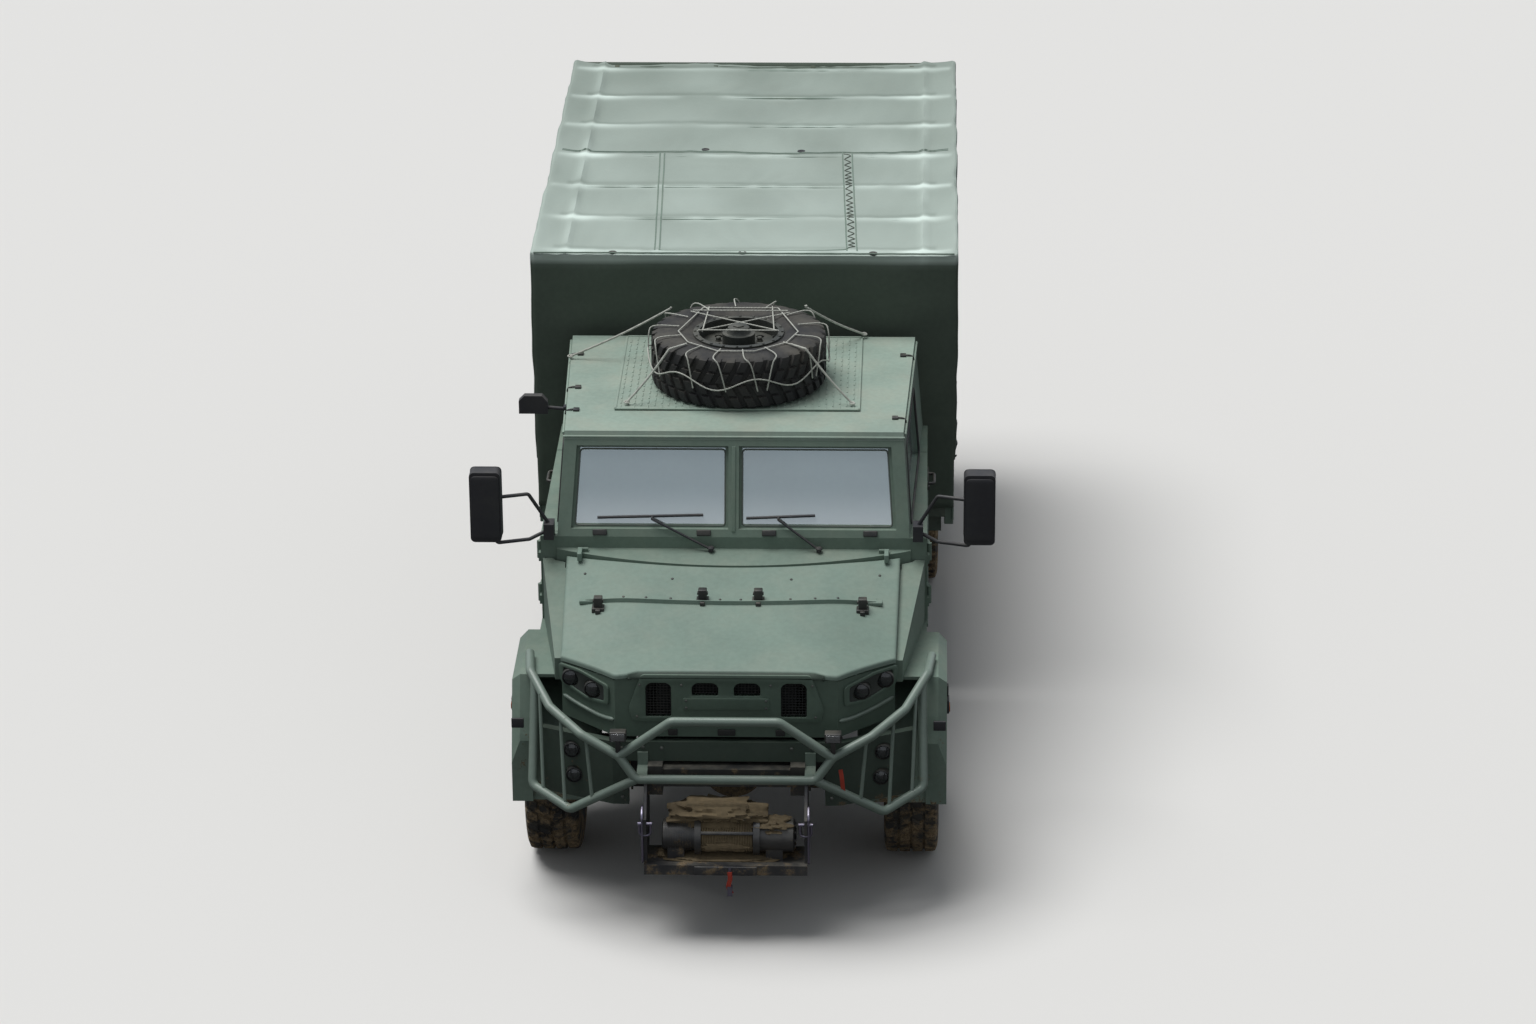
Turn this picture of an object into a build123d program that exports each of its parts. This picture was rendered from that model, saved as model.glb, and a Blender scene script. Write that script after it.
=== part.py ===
from build123d import *
import math
import os

# Light four-wheel-drive military cargo truck with a bonneted cab and a covered load bed.
# Millimetres. X is across (plus is the truck's own left), the truck faces minus Y, Z is up.
# While a piece is made, Y is counted from the front axle. It is shifted once, on writing, so
# that the origin is on the ground at the middle of the whole truck.

# Overall sizes
LENGTH = 6200
FRONT_OVERHANG = 1095
WHEELBASE = 3400
BODY_HALF = 1103
COVER_TOP = 2480
COVER_FRONT = 1785
COVER_REAR = LENGTH - FRONT_OVERHANG
MIRROR_HALF = 1280

# Wheels
TYRE_R = 440
TYRE_W = 270
BEAD_R = 210
RIM_W = 230
RIM_WALL = 10
FLANGE_R = 228
FLANGE_T = 8
TRACK = 1760
DISC_OFFSET = 50
DISC_T = 14
HUB_R = 82
HUB_IN = 70
HUB_OUT = 118
SPINDLE_R = 36
SPINDLE_REACH = 60
HAND_HOLES = 8
HAND_HOLE_R = 20
HAND_HOLE_CIRCLE = 148

# Running clearances
FIT = 0.3
GAP = 6

# Chassis
RAIL_X = 340
RAIL_W = 70
RAIL_H = 150
RAIL_TOP = 830
RAIL_FRONT = -880
RAIL_REAR = COVER_REAR - 115
MEMBER_W = 80
MEMBER_H = 90
MEMBER_DROP = 20
MEMBER_YS = (RAIL_FRONT + 50, -640, 1640, WHEELBASE - 1000, WHEELBASE + 800, RAIL_REAR - 50)

# Axles and steering
BEAM_R = 60
DIFF_R = 150
CASE_R = 125
CASE_LEN = 260
KINGPIN_X = 712
KNUCKLE_R = 44
KNUCKLE_HALF = 100
YOKE_T = 24
YOKE_W = 100
SPRING_X = 430
SPRING_W = 66
SPRING_T = 46
SPRING_HALF = (560, 620)
SPRING_RISE = 74
EYE_R = 26
EYE_LAP = 8
HANGER_T = 10
HANGER_LEN = 80
HANGER_ABOVE = 127
SHOCK_R = 26
SHOCK_TOP_R = 34
SHOCK_OUT = 95
SHOCK_LEAN = 150

# Power train
ENGINE = ((-250, 250), (-590, 110), (TYRE_R + 200, 1130))
ENGINE_FOOT = ((-160, -80), (RAIL_TOP - 50, RAIL_TOP - 10))
GEARBOX = ((-150, 150), (ENGINE[1][1], 900), (TYRE_R + 160, 815))
TRANSFER = ((-190, 190), (1150, 1500), (RAIL_TOP - 320, RAIL_TOP - 40))
TRANSFER_MOUNT = ((1280, 1360), (RAIL_TOP - 130, RAIL_TOP - 70))
SHAFT_R = 34
RADIATOR = ((-330, 330), (-700, -630), (RAIL_TOP, 1180))
PIPE_R = 25
SILENCER_R = 85
SILENCER_X = 195
SILENCER_Z = RAIL_TOP - 240
PIPE_X = 225
PIPE_Z = ENGINE[2][0] + 45

# Cab shell
FLOOR_Z = 850
FLOOR_T = 30
CAB_FRONT = 260
CAB_REAR = 1700
CAB_HALF = 950
WAIST_Z = 1560
ROOF_Z = 2050
ROOF_T = 40
TREAD_T = 8
SCREEN_FOOT_Y = 198
SCREEN_HEAD_Y = 372
HALF_AT_FOOT = 866
PLAN_FLARE = 59 / 1502
SIDE_LEAN = 42 / 490
REAR_WALL_T = 40
DOOR_T = 80
DOOR_FRAME_T = 42
DOOR_REAR = 1330
BELT_DROP = 70
BELT_IN = 820
SCREEN_T = 62
STEP_DEEP = 24
PANE_IN = 28
PANE_T = 8
CORNER_CUT = ((CAB_FRONT, 1150), (560, 900))
HINGE_X = 962
HINGE_Y = 261
HINGE_R = 11
HINGE_LEN = 45
HINGE_ZS = (1190, 1420)

# Nose
NOSE_Y = -800
NOSE_HALF = 530
NOSE_CORNER = (800, -550)
NOSE_BOTTOM = 950
NOSE_T = 45
HOOD_T = 30
HOOD_REAR_HALF = 820
HOOD_REAR_MID = 70
HOOD_BOW = 105
HOOD_HINGE_X = 740
HOOD_HINGE_Y = 172
HOOD_HINGE_Z = 1505
HOOD_HINGE_R = 8
ARCH_R = 560
ARCH_T = 16
FLARE_IN = CAB_HALF
FLARE_OUT = 1050
FENDER_TOP = 1120
FLARE_TOP_REAR = 60
FLARE_BEVEL = 42
WING_REAR = 194

# Load bed
DECK_TOP = 1040
DECK_T = 40
BED_HALF = 1045
BOARD_T = 35
BOARD_TOP = 1440
HEADBOARD_TOP = 1900
BED_FRONT = 1815
GATE_FRONT = COVER_REAR - 60
GATE_HINGE_Y = COVER_REAR - 15
GATE_HINGE_Z = 1000
BEARER_HALF = 35
BEARER_UNDER = 900
HINGE_XS = (700, 180)
GATE_HINGE_R = 9
COVER_T = 15
COVER_HEM = 1330
ROLL_R = 50
COVER_FRONT_HEM = 1060
BOW_T = 34
BOW_COUNT = 7

# Under the bed
SIDE_BOX_OUT = 860
TANK = ((BED_FRONT + 35, WHEELBASE - 700), (RAIL_TOP - 350, RAIL_TOP - 20))
BATTERY = ((BED_FRONT + 35, WHEELBASE - 950), (RAIL_TOP - 310, RAIL_TOP - 20))
SILENCER_YS = (BED_FRONT + 25, WHEELBASE - 970)
FLAP_T = 10
UNDERRUN_Z = (RAIL_TOP - 270, RAIL_TOP - 170)
JAW_Z = RAIL_TOP - 80
JAW_BORE_R = 20.5

# Front gear
GUARD_R = 22
WINCH_Y = -935
WINCH_Z = RAIL_TOP - 330
SHACKLE_Y = -1052
SHACKLE_Z = RAIL_TOP - 220
SHACKLE_PIN_R = 8.5
PLATE_T = 14
CROSS_BAR_Y = -1070

# Cab fittings
SEAT_X = (262, 738)
SEAT_TOP = 1235
SEAT_BOX_TOP = 1100
WHEEL_X = 450
WHEEL_RING_R = 195
KERB_MIRROR_Y = (690, 730)

made = []


def box(x, y, z):
    """A block between the low and high value of each axis."""
    size = [b - a for a, b in (x, y, z)]
    return Pos(sum(x) / 2, sum(y) / 2, sum(z) / 2) * Box(*size)


def prism_x(points, x0, x1):
    """A (y, z) outline carried across from x0 to x1."""
    face = make_face(Polyline(*[(x0, y, z) for y, z in points], close=True))
    return extrude(face, amount=x1 - x0, dir=(1, 0, 0))


def prism_y(points, y0, y1):
    """An (x, z) outline carried along from y0 to y1."""
    face = make_face(Polyline(*[(x, y0, z) for x, z in points], close=True))
    return extrude(face, amount=y1 - y0, dir=(0, 1, 0))


def prism_z(points, z0, z1):
    """An (x, y) outline carried up from z0 to z1."""
    face = make_face(Polyline(*[(x, y, z0) for x, y in points], close=True))
    return extrude(face, amount=z1 - z0, dir=(0, 0, 1))


def strip(points, depth, z0, z1):
    """A plan line made into a wall that is depth thick, measured towards the rear."""
    back = [(x, y + depth) for x, y in reversed(points)]
    return prism_z(list(points) + back, z0, z1)


def rod(start, end, radius):
    """A round bar between two points."""
    a, b = Vector(*start), Vector(*end)
    return extrude(Plane(origin=a, z_dir=b - a) * Circle(radius), amount=(b - a).length)


def tube(points, radius, bend):
    """A round bar that follows straight runs joined by equal bends."""
    path = FilletPolyline(*points, radius=bend)
    first = Vector(*points[1]) - Vector(*points[0])
    return sweep(Plane(origin=points[0], z_dir=first) * Circle(radius), path=path)


def swap(shape):
    """The same shape on the other side of the truck."""
    return mirror(shape, about=Plane.YZ)


def pair(shape):
    return [shape, swap(shape)]


def write(name, *shapes):
    """Shift the pieces from the front axle to the truck's middle and write one file."""
    solids = []
    for shape in shapes:
        solids += list(shape.solids())
    moved = [Pos(0, FRONT_OVERHANG - LENGTH / 2, 0) * one for one in solids]
    whole = moved[0] if len(moved) == 1 else Compound(children=moved)
    export_step(whole, "parts/" + name + ".step")
    made.append(name)


def half_width(y, z):
    """Half width of the upper cab: it widens to the rear and leans in towards the roof."""
    return HALF_AT_FOOT + PLAN_FLARE * (y - SCREEN_FOOT_Y) - SIDE_LEAN * (z - WAIST_Z)


def screen_y(z):
    """Where the windscreen's outer face stands at a height."""
    rise = (z - WAIST_Z) / (ROOF_Z - WAIST_Z)
    return SCREEN_FOOT_Y + rise * (SCREEN_HEAD_Y - SCREEN_FOOT_Y)


def upper_cab(inset, z0, z1):
    """The upper cab as a solid between two heights, with its sides moved in by inset."""
    faces = []
    for z in (z0, z1):
        front, rear = screen_y(z), CAB_REAR
        a, b = half_width(front, z) - inset, half_width(rear, z) - inset
        points = [(-a, front, z), (a, front, z), (b, rear, z), (-b, rear, z)]
        faces.append(make_face(Polyline(*points, close=True)))
    return loft(faces, ruled=True)


def side_slab(thick, y_low, y_high, z0, z1):
    """A slice of the upper cab's plus X wall."""
    ring = upper_cab(0, z0, z1) - upper_cab(thick, z0, z1)
    return ring & box((300, 1200), (y_low, y_high), (z0, z1))


# Wheels


def tyre():
    """Tyre about the X axis: the outline is half width against radius."""
    half = TYRE_W / 2
    bead = RIM_W / 2 - 3
    outline = [
        (-bead, BEAD_R), (bead, BEAD_R), (bead, FLANGE_R + 4), (half, 300),
        (half, 392), (half - 22, TYRE_R), (22 - half, TYRE_R), (-half, 392),
        (-half, 300), (-bead, FLANGE_R + 4),
    ]
    face = make_face(Polyline(*[(a, 0, r) for a, r in outline], close=True))
    return revolve(face, axis=Axis.X)


def rim():
    """Steel rim with its dished disc, hand holes and hub, outside towards plus X."""
    half = RIM_W / 2
    outer = BEAD_R - FIT
    inner = outer - RIM_WALL
    barrel = Rot(0, 90, 0) * (Cylinder(outer, RIM_W) - Cylinder(inner, RIM_W + 2))
    flange = Rot(0, 90, 0) * (Cylinder(FLANGE_R, FLANGE_T) - Cylinder(inner, FLANGE_T + 2))
    disc = Pos(DISC_OFFSET, 0, 0) * Rot(0, 90, 0) * Cylinder(inner, DISC_T)
    hub_len = HUB_IN + HUB_OUT
    hub = Pos((HUB_OUT - HUB_IN) / 2, 0, 0) * Rot(0, 90, 0) * Cylinder(HUB_R, hub_len)
    whole = barrel + disc + hub
    for side in (-1, 1):
        whole += Pos(side * (half + FLANGE_T / 2), 0, 0) * flange
    for i in range(HAND_HOLES):
        angle = 2 * math.pi * i / HAND_HOLES
        y, z = HAND_HOLE_CIRCLE * math.cos(angle), HAND_HOLE_CIRCLE * math.sin(angle)
        whole -= Pos(DISC_OFFSET, y, z) * Rot(0, 90, 0) * Cylinder(HAND_HOLE_R, DISC_T * 3)
    reach = HUB_IN + SPINDLE_REACH + 1
    bore = Pos(reach / 2 - HUB_IN - 0.5, 0, 0) * Rot(0, 90, 0)
    return whole - bore * Cylinder(SPINDLE_R + FIT, reach + 1)


def wheels():
    for end, y in (("front", 0), ("rear", WHEELBASE)):
        for side, sign in (("left", 1), ("right", -1)):
            place = Pos(sign * TRACK / 2, y, TYRE_R)
            turned = place * Rot(0, 0, 90 - sign * 90)
            write("tyre_" + end + "_" + side, turned * tyre())
            write("rim_" + end + "_" + side, turned * rim())


# Chassis


def ladder_frame():
    low = RAIL_TOP - RAIL_H
    rail_x = (RAIL_X - RAIL_W / 2, RAIL_X + RAIL_W / 2)
    rail = box(rail_x, (RAIL_FRONT, RAIL_REAR), (low, RAIL_TOP))
    eye_z = spring_eye_z()
    cheek = SPRING_W + 2 * HANGER_T + 2
    for y, half in zip((0, WHEELBASE), SPRING_HALF):
        for at in (y - half, y + half):
            near = SPRING_X - cheek / 2
            block = box((near, SPRING_X + cheek / 2), (at - HANGER_LEN / 2, at + HANGER_LEN / 2),
                        (eye_z - EYE_R, eye_z + HANGER_ABOVE))
            slot = box((SPRING_X - SPRING_W / 2 - 1, SPRING_X + SPRING_W / 2 + 1),
                       (at - HANGER_LEN, at + HANGER_LEN), (0, eye_z + EYE_R + 1))
            link = box((rail_x[1] - 5, near + 5), (at - HANGER_LEN / 2, at + HANGER_LEN / 2),
                       (low + 10, low + 70))
            rail += block - slot + link
    whole = rail + swap(rail)
    for y in MEMBER_YS:
        whole += box((-rail_x[0] - 1, rail_x[0] + 1), (y - MEMBER_W / 2, y + MEMBER_W / 2),
                     (RAIL_TOP - MEMBER_DROP - MEMBER_H, RAIL_TOP - MEMBER_DROP))
    write("ladder_frame", whole)


def spring_eye_z():
    return TYRE_R + BEAM_R + SPRING_T / 2 + SPRING_RISE


def leaf_spring(y, half):
    """Leaf pack as an arc: low on its axle, its eyes high at both ends."""
    low = TYRE_R + BEAM_R
    rise = SPRING_RISE
    end = half - EYE_R + EYE_LAP
    bottom = ThreePointArc((0, y - end, low + rise), (0, y, low), (0, y + end, low + rise))
    top_z = low + SPRING_T
    top = ThreePointArc((0, y - end, top_z + rise), (0, y, top_z), (0, y + end, top_z + rise))
    ends = [Line((0, y + s * end, low + rise), (0, y + s * end, top_z + rise)) for s in (-1, 1)]
    face = make_face([bottom, ends[1], top, ends[0]])
    pack = extrude(face, amount=SPRING_W / 2, dir=(1, 0, 0), both=True)
    for s in (-1, 1):
        eye = Rot(0, 90, 0) * Cylinder(EYE_R, SPRING_W)
        pack += Pos(0, y + s * half, spring_eye_z()) * eye
    return Pos(SPRING_X, 0, 0) * pack


def shock_absorber(y, lean):
    """Shock absorber from the axle beam up to the rail's side."""
    foot = (SPRING_X + SHOCK_OUT, y, TYRE_R + BEAM_R + FIT + SHOCK_R)
    head = (RAIL_X + RAIL_W / 2 + 40, y + lean, RAIL_TOP - 40)
    mid = [(a + b) / 2 for a, b in zip(foot, head)]
    body = rod(foot, mid, SHOCK_R) + rod(mid, head, SHOCK_TOP_R)
    lug = box((RAIL_X + RAIL_W / 2, RAIL_X + RAIL_W / 2 + 45), (y + lean - 20, y + lean + 20),
              (RAIL_TOP - 60, RAIL_TOP - 20))
    seat = box((foot[0] - 30, foot[0] + 30), (y - 30, y + 30),
               (TYRE_R + BEAM_R + FIT, TYRE_R + BEAM_R + SHOCK_R + 2))
    return body + lug + seat


def suspension():
    pieces = []
    for y, half in zip((0, WHEELBASE), SPRING_HALF):
        pieces += pair(leaf_spring(y, half))
        lean = SHOCK_LEAN if y == 0 else -SHOCK_LEAN
        pieces += pair(shock_absorber(y, lean))
    write("suspension", *pieces)


def axle_beam(y, reach):
    beam = Pos(0, y, TYRE_R) * Rot(0, 90, 0) * Cylinder(BEAM_R, 2 * reach)
    beam += Pos(0, y, TYRE_R) * Rot(90, 0, 0) * Cylinder(DIFF_R, 190)
    upright = (Align.CENTER, Align.CENTER, Align.MIN)
    cone = Pos(0, y, TYRE_R) * Rot(0, 90, 0) * Cone(CASE_R, BEAM_R, CASE_LEN, align=upright)
    beam += cone + swap(cone)
    return beam


def axles():
    inner = KINGPIN_X - 90
    front = axle_beam(0, inner + 10)
    top = KNUCKLE_HALF + FIT
    yoke = box((inner, inner + YOKE_T), (-YOKE_W / 2, YOKE_W / 2),
               (TYRE_R - top - YOKE_T, TYRE_R + top + YOKE_T))
    for s in (-1, 1):
        z = TYRE_R + s * (top + YOKE_T / 2)
        yoke += box((inner, KINGPIN_X + 34), (-YOKE_W / 2, YOKE_W / 2),
                    (z - YOKE_T / 2, z + YOKE_T / 2))
    front += yoke + swap(yoke)
    write("front_axle", front)
    rear = axle_beam(WHEELBASE, TRACK / 2 - HUB_IN - 4)
    spindle = TRACK + 2 * SPINDLE_REACH - 2
    rear += Pos(0, WHEELBASE, TYRE_R) * Rot(0, 90, 0) * Cylinder(SPINDLE_R, spindle)
    write("rear_axle", rear)


def knuckles():
    """Steering knuckles that carry the front wheels on short spindles."""
    for side, sign in (("left", 1), ("right", -1)):
        body = Pos(KINGPIN_X, 0, TYRE_R) * Cylinder(KNUCKLE_R, 2 * KNUCKLE_HALF)
        face = TRACK / 2 - HUB_IN - 4
        body += rod((KINGPIN_X, 0, TYRE_R), (face, 0, TYRE_R), 62)
        body += rod((KINGPIN_X, 0, TYRE_R), (TRACK / 2 + SPINDLE_REACH - 1, 0, TYRE_R), SPINDLE_R)
        body += box((KINGPIN_X - 26, KINGPIN_X + 10), (0, 175), (TYRE_R - 70, TYRE_R - 40))
        write("knuckle_" + side, body if sign > 0 else swap(body))


def propeller_shaft(start, end):
    """A shaft between two (y, z) places on flat faces: its ends stay clear however it slopes."""
    (y0, z0), (y1, z1) = start, end
    clear = FIT + SHAFT_R * abs(z1 - z0) / math.hypot(y1 - y0, z1 - z0)
    return rod((0, y0 + clear, z0), (0, y1 - clear, z1), SHAFT_R)


def power_train():
    rail_in = RAIL_X - RAIL_W / 2
    block = box(*ENGINE)
    for x in ((ENGINE[0][1] - 2, rail_in), (-rail_in, ENGINE[0][0] + 2)):
        block += box(x, *ENGINE_FOOT)
    write("engine", block)
    case = box(*GEARBOX) + box(*TRANSFER)
    link_z = (GEARBOX[2][0] + 100, TRANSFER[2][0] + 170)
    case += rod((0, GEARBOX[1][1] - 5, link_z[0]), (0, TRANSFER[1][0] + 5, link_z[1]), SHAFT_R)
    case += box((-rail_in, rail_in), *TRANSFER_MOUNT)
    write("transmission", case)
    low = TRANSFER[2][0]
    front = propeller_shaft((CASE_R, TYRE_R + 40), (TRANSFER[1][0], low + 50))
    rear = propeller_shaft((TRANSFER[1][1], low + 90), (WHEELBASE - CASE_R, TYRE_R + 30))
    write("propeller_shafts", front, rear)
    write("radiator", box(*RADIATOR))


def exhaust():
    y0, y1 = SILENCER_YS
    x, z = SILENCER_X, SILENCER_Z
    start = ENGINE[1][1] + FIT
    line = [(PIPE_X, start, PIPE_Z), (PIPE_X, 500, PIPE_Z), (PIPE_X, 1500, z + 30), (x, y0 + 20, z)]
    pipe = tube(line, PIPE_R, 60)
    silencer = rod((x, y0, z), (x, y1, z), SILENCER_R)
    tail = tube([(x, y1 - 20, z), (x, y1 + 120, z), (960, y1 + 120, z)], PIPE_R, 60)
    member_low = RAIL_TOP - MEMBER_DROP - MEMBER_H
    strap = box((x - 12, x + 12), (y1 - 50, y1 - 10), (z + 60, member_low))
    rail_low = RAIL_TOP - RAIL_H
    strap_rear = box((RAIL_X - 12, RAIL_X + 12), (y1 + 105, y1 + 135), (z + 15, rail_low))
    write("exhaust", pipe + silencer + tail + strap + strap_rear)


def side_box(y, z, radius, brackets):
    """A box beside the rail with rounded long edges, held by brackets at some places along it."""
    edge = RAIL_X + RAIL_W / 2
    body = fillet(box((edge + 40, SIDE_BOX_OUT), y, z).edges().filter_by(Axis.Y), radius)
    for at in brackets:
        body += box((edge, edge + 60), (at - 20, at + 20), (z[0] + 80, z[1] - 10))
    return body


def side_tanks():
    front, rear = TANK[0]
    write("fuel_tank", swap(side_box(*TANK, 50, (front + 150, rear - 150))))
    front, rear = BATTERY[0]
    write("battery_box", side_box(*BATTERY, 12, (front + 120, rear - 120)))


# Cab


def wheel_houses():
    """The room that the cab leaves for both front wheel arches."""
    side = Pos(1600, 0, TYRE_R) * Rot(0, 90, 0) * Cylinder(ARCH_R + ARCH_T + GAP, 2000)
    return side + swap(side)


def cab_floor():
    floor = box((-BELT_IN, BELT_IN), (160, CAB_REAR - REAR_WALL_T), (FLOOR_Z, FLOOR_Z + FLOOR_T))
    top = FLOOR_Z + FLOOR_T
    floor += box((-180, 180), (160, 1100), (top - 1, 1050))
    for s in (-1, 1):
        edges = sorted((s * 270, s * 730))
        floor += box(edges, (790, 1240), (top - 1, SEAT_BOX_TOP))
    for y in (420, 1450):
        for s in (-1, 1):
            edges = sorted((s * (RAIL_X - 30), s * (RAIL_X + 30)))
            floor += box(edges, (y - 40, y + 40), (RAIL_TOP, FLOOR_Z + 1))
    write("cab_floor", floor - wheel_houses())


def door_outline(grow):
    """Door seen from the side, moved out by grow all round."""
    (y0, z0), (y1, z1) = CORNER_CUT
    head = ROOF_Z - ROOF_T
    lean = screen_y(head) - screen_y(WAIST_Z)
    foot_y = CAB_FRONT + GAP
    return [
        (foot_y - grow, z0 - grow * 0.4), (y1 - grow * 0.5, z1 - grow), (DOOR_REAR + grow, z1 - grow),
        (DOOR_REAR + grow, head - GAP + grow * 2), (foot_y + 6 + lean - grow, head - GAP + grow * 2),
        (foot_y - grow, WAIST_Z),
    ]


def hinge_leaf(z, side):
    """Half of a door hinge: a barrel on the hinge line and its leaf to the post or the door."""
    centre = Pos(HINGE_X, HINGE_Y, z + HINGE_LEN / 2)
    leaf = box((CAB_HALF - 1, HINGE_X), sorted((HINGE_Y, HINGE_Y + side * 48)), (z, z + HINGE_LEN))
    return centre * Cylinder(HINGE_R, HINGE_LEN) + leaf


def doors():
    head = ROOF_Z - ROOF_T - GAP
    outline = prism_x(door_outline(0), 300, 1200)
    lower = box((CAB_HALF - DOOR_T, CAB_HALF), (0, 1600), (0, WAIST_Z - BELT_DROP + 1))
    belt = box((BELT_IN, CAB_HALF), (0, 1600), (WAIST_Z - BELT_DROP, WAIST_Z))
    upper = side_slab(DOOR_FRAME_T, 0, 1600, WAIST_Z - 1, head)
    shell = (lower + belt + upper) & outline
    frame = 62
    slope = screen_y(head - frame) - screen_y(WAIST_Z)
    front = CAB_FRONT + GAP + 50
    window = [
        (front + 4, WAIST_Z + 20), (DOOR_REAR - frame, WAIST_Z + 20),
        (DOOR_REAR - frame, head - frame), (front + slope + 14, head - frame),
    ]
    hole = prism_x(window, 300, 1200)
    shell -= hole
    glass = side_slab(26, 0, 1600, WAIST_Z, head) - upper_cab_inner_glass(head)
    glass = glass & hole
    for z in HINGE_ZS:
        shell += hinge_leaf(z + HINGE_LEN + FIT, 1)
    write("door_left", shell)
    write("door_right", swap(shell))
    write("door_glass_left", glass)
    write("door_glass_right", swap(glass))


def upper_cab_inner_glass(head):
    """What stands outside the pane: the outer 20 mm of the upper side."""
    return upper_cab(0, WAIST_Z, head) - upper_cab(20, WAIST_Z, head)


def cab_sides():
    """Quarter panel, sill and hinge post of one side as one frame round the door."""
    rear = CAB_REAR - REAR_WALL_T
    head = ROOF_Z - ROOF_T
    lower = box((CAB_HALF - DOOR_T, CAB_HALF), (CAB_FRONT - 60, rear), (FLOOR_Z - 30, WAIST_Z))
    belt = box((BELT_IN, CAB_HALF), (DOOR_REAR, rear), (WAIST_Z - BELT_DROP, WAIST_Z))
    upper = side_slab(DOOR_FRAME_T, DOOR_REAR, rear, WAIST_Z - 1, head)
    floor_edge = box((BELT_IN, CAB_HALF), (560, rear), (FLOOR_Z - 30, FLOOR_Z + FLOOR_T))
    door_hole = prism_x(door_outline(GAP), 300, 1200)
    arch = Pos(0, 0, TYRE_R) * Rot(0, 90, 0) * Cylinder(ARCH_R + ARCH_T + 20, 3000)
    side = (lower + belt + upper + floor_edge) - door_hole - arch
    for z in HINGE_ZS:
        side += hinge_leaf(z, -1)
    write("cab_sides", *pair(side))


def cab_rear_wall():
    rear, head = CAB_REAR, ROOF_Z - ROOF_T
    foot = RAIL_TOP + 10
    wall = upper_cab(0, WAIST_Z - 1, head) & box((-1200, 1200), (rear - REAR_WALL_T, rear), (0, 3000))
    wall += box((-CAB_HALF, CAB_HALF), (rear - REAR_WALL_T, rear), (foot, WAIST_Z))
    write("cab_rear_wall", wall)


def pane_points(side, z0, z1, post, edge):
    """Corners of one windscreen pane, from the post to the outer edge."""
    low = half_width(screen_y(z0), z0) - edge
    high = half_width(screen_y(z1), z1) - edge
    points = [(post, z0), (low, z0), (high, z1), (post, z1)]
    return points if side > 0 else [(-x, z) for x, z in points]


def leaning_slab(near, far):
    """What lies between two depths behind the windscreen's outer face."""
    head = ROOF_Z - ROOF_T
    low_y, high_y = screen_y(WAIST_Z), screen_y(head)
    outline = [(low_y + near, WAIST_Z), (low_y + far, WAIST_Z), (high_y + far, head), (high_y + near, head)]
    return prism_x(outline, -1200, 1200)


def windscreen():
    head = ROOF_Z - ROOF_T
    frame = leaning_slab(0, SCREEN_T) & upper_cab(0, WAIST_Z, head)
    panes = []
    for side in (-1, 1):
        hole = prism_y(pane_points(side, WAIST_Z + 52, head - 44, 42, 82), 0, 600)
        step = prism_y(pane_points(side, WAIST_Z + 36, head - 28, 26, 64), 0, 600)
        frame = frame - hole - (step & leaning_slab(-200, STEP_DEEP))
        panes.append(leaning_slab(PANE_IN, PANE_IN + PANE_T) & hole)
    write("windscreen_frame", frame)
    write("windscreen_glass", *panes)


def cab_roof():
    roof = upper_cab(0, ROOF_Z - ROOF_T, ROOF_Z)
    plate = box((-600, 610), (650, 1670), (ROOF_Z - 1, ROOF_Z + TREAD_T))
    write("cab_roof", roof + plate)


def cowl():
    """Scuttle in front of the windscreen, with the bulkhead under it."""
    half = CAB_HALF - DOOR_T
    foot, back = SCREEN_FOOT_Y, SCREEN_FOOT_Y + SCREEN_T
    outline = [(40, 1455), (foot, 1500), (foot, WAIST_Z), (back, WAIST_Z), (back, 1430), (40, 1425)]
    top = prism_x(outline, -half, half)
    wall = box((-BELT_IN, BELT_IN), (130, 160), (FLOOR_Z + FLOOR_T, 1428))
    line = [(-950, hood_gap_y(950)), (0, hood_gap_y(0)), (950, hood_gap_y(950))]
    arc = ThreePointArc(*[(x, y, 0) for x, y in line])
    runs = [line[2], (950, -400), (-950, -400), line[0]]
    edges = [Line((*a, 0), (*b, 0)) for a, b in zip(runs, runs[1:])]
    cut = extrude(make_face([arc] + edges), amount=3000, dir=(0, 0, 1))
    lug_x = (HOOD_HINGE_X - 26, HOOD_HINGE_X - FIT)
    lug = box(lug_x, (HOOD_HINGE_Y - 6, HOOD_HINGE_Y + HOOD_HINGE_R), (1480, HOOD_HINGE_Z))
    lug += hinge_barrel(lug_x, HOOD_HINGE_Y, HOOD_HINGE_Z, HOOD_HINGE_R)
    write("cowl", top - cut + (wall - wheel_houses()) + lug + swap(lug))


def hinge_barrel(x, y, z, radius):
    """A barrel that lies across the truck between two x places."""
    return rod((x[0], y, z), (x[1], y, z), radius)


def hood_gap_y(x):
    """The line between hood and cowl: an arc, forward in the middle, back at the sides."""
    radius = (HOOD_REAR_HALF ** 2 + HOOD_BOW ** 2) / (2 * HOOD_BOW)
    return HOOD_REAR_MID + radius - math.sqrt(radius ** 2 - x ** 2)


def hood_section(y, z_mid, z_edge, half, knee, above=0):
    """Outline across the hood, with its upper line raised by above."""
    line = [(-half, z_edge), (-knee, z_mid), (knee, z_mid), (half, z_edge)]
    top = [(x, z + above) for x, z in line]
    low = [(x, z - HOOD_T) for x, z in reversed(line)]
    return make_face(Polyline(*[(x, y, z) for x, z in top + low], close=True))


HOOD_ROWS = (
    # y, middle height, edge height, half width, knee
    (-810, 1283, 1236, 760, 500),
    (-500, 1338, 1262, 800, 500),
    (200, 1492, 1486, 830, 560),
)


HOOD_BRACKETS = ((640, -244), (135, -210))


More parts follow.
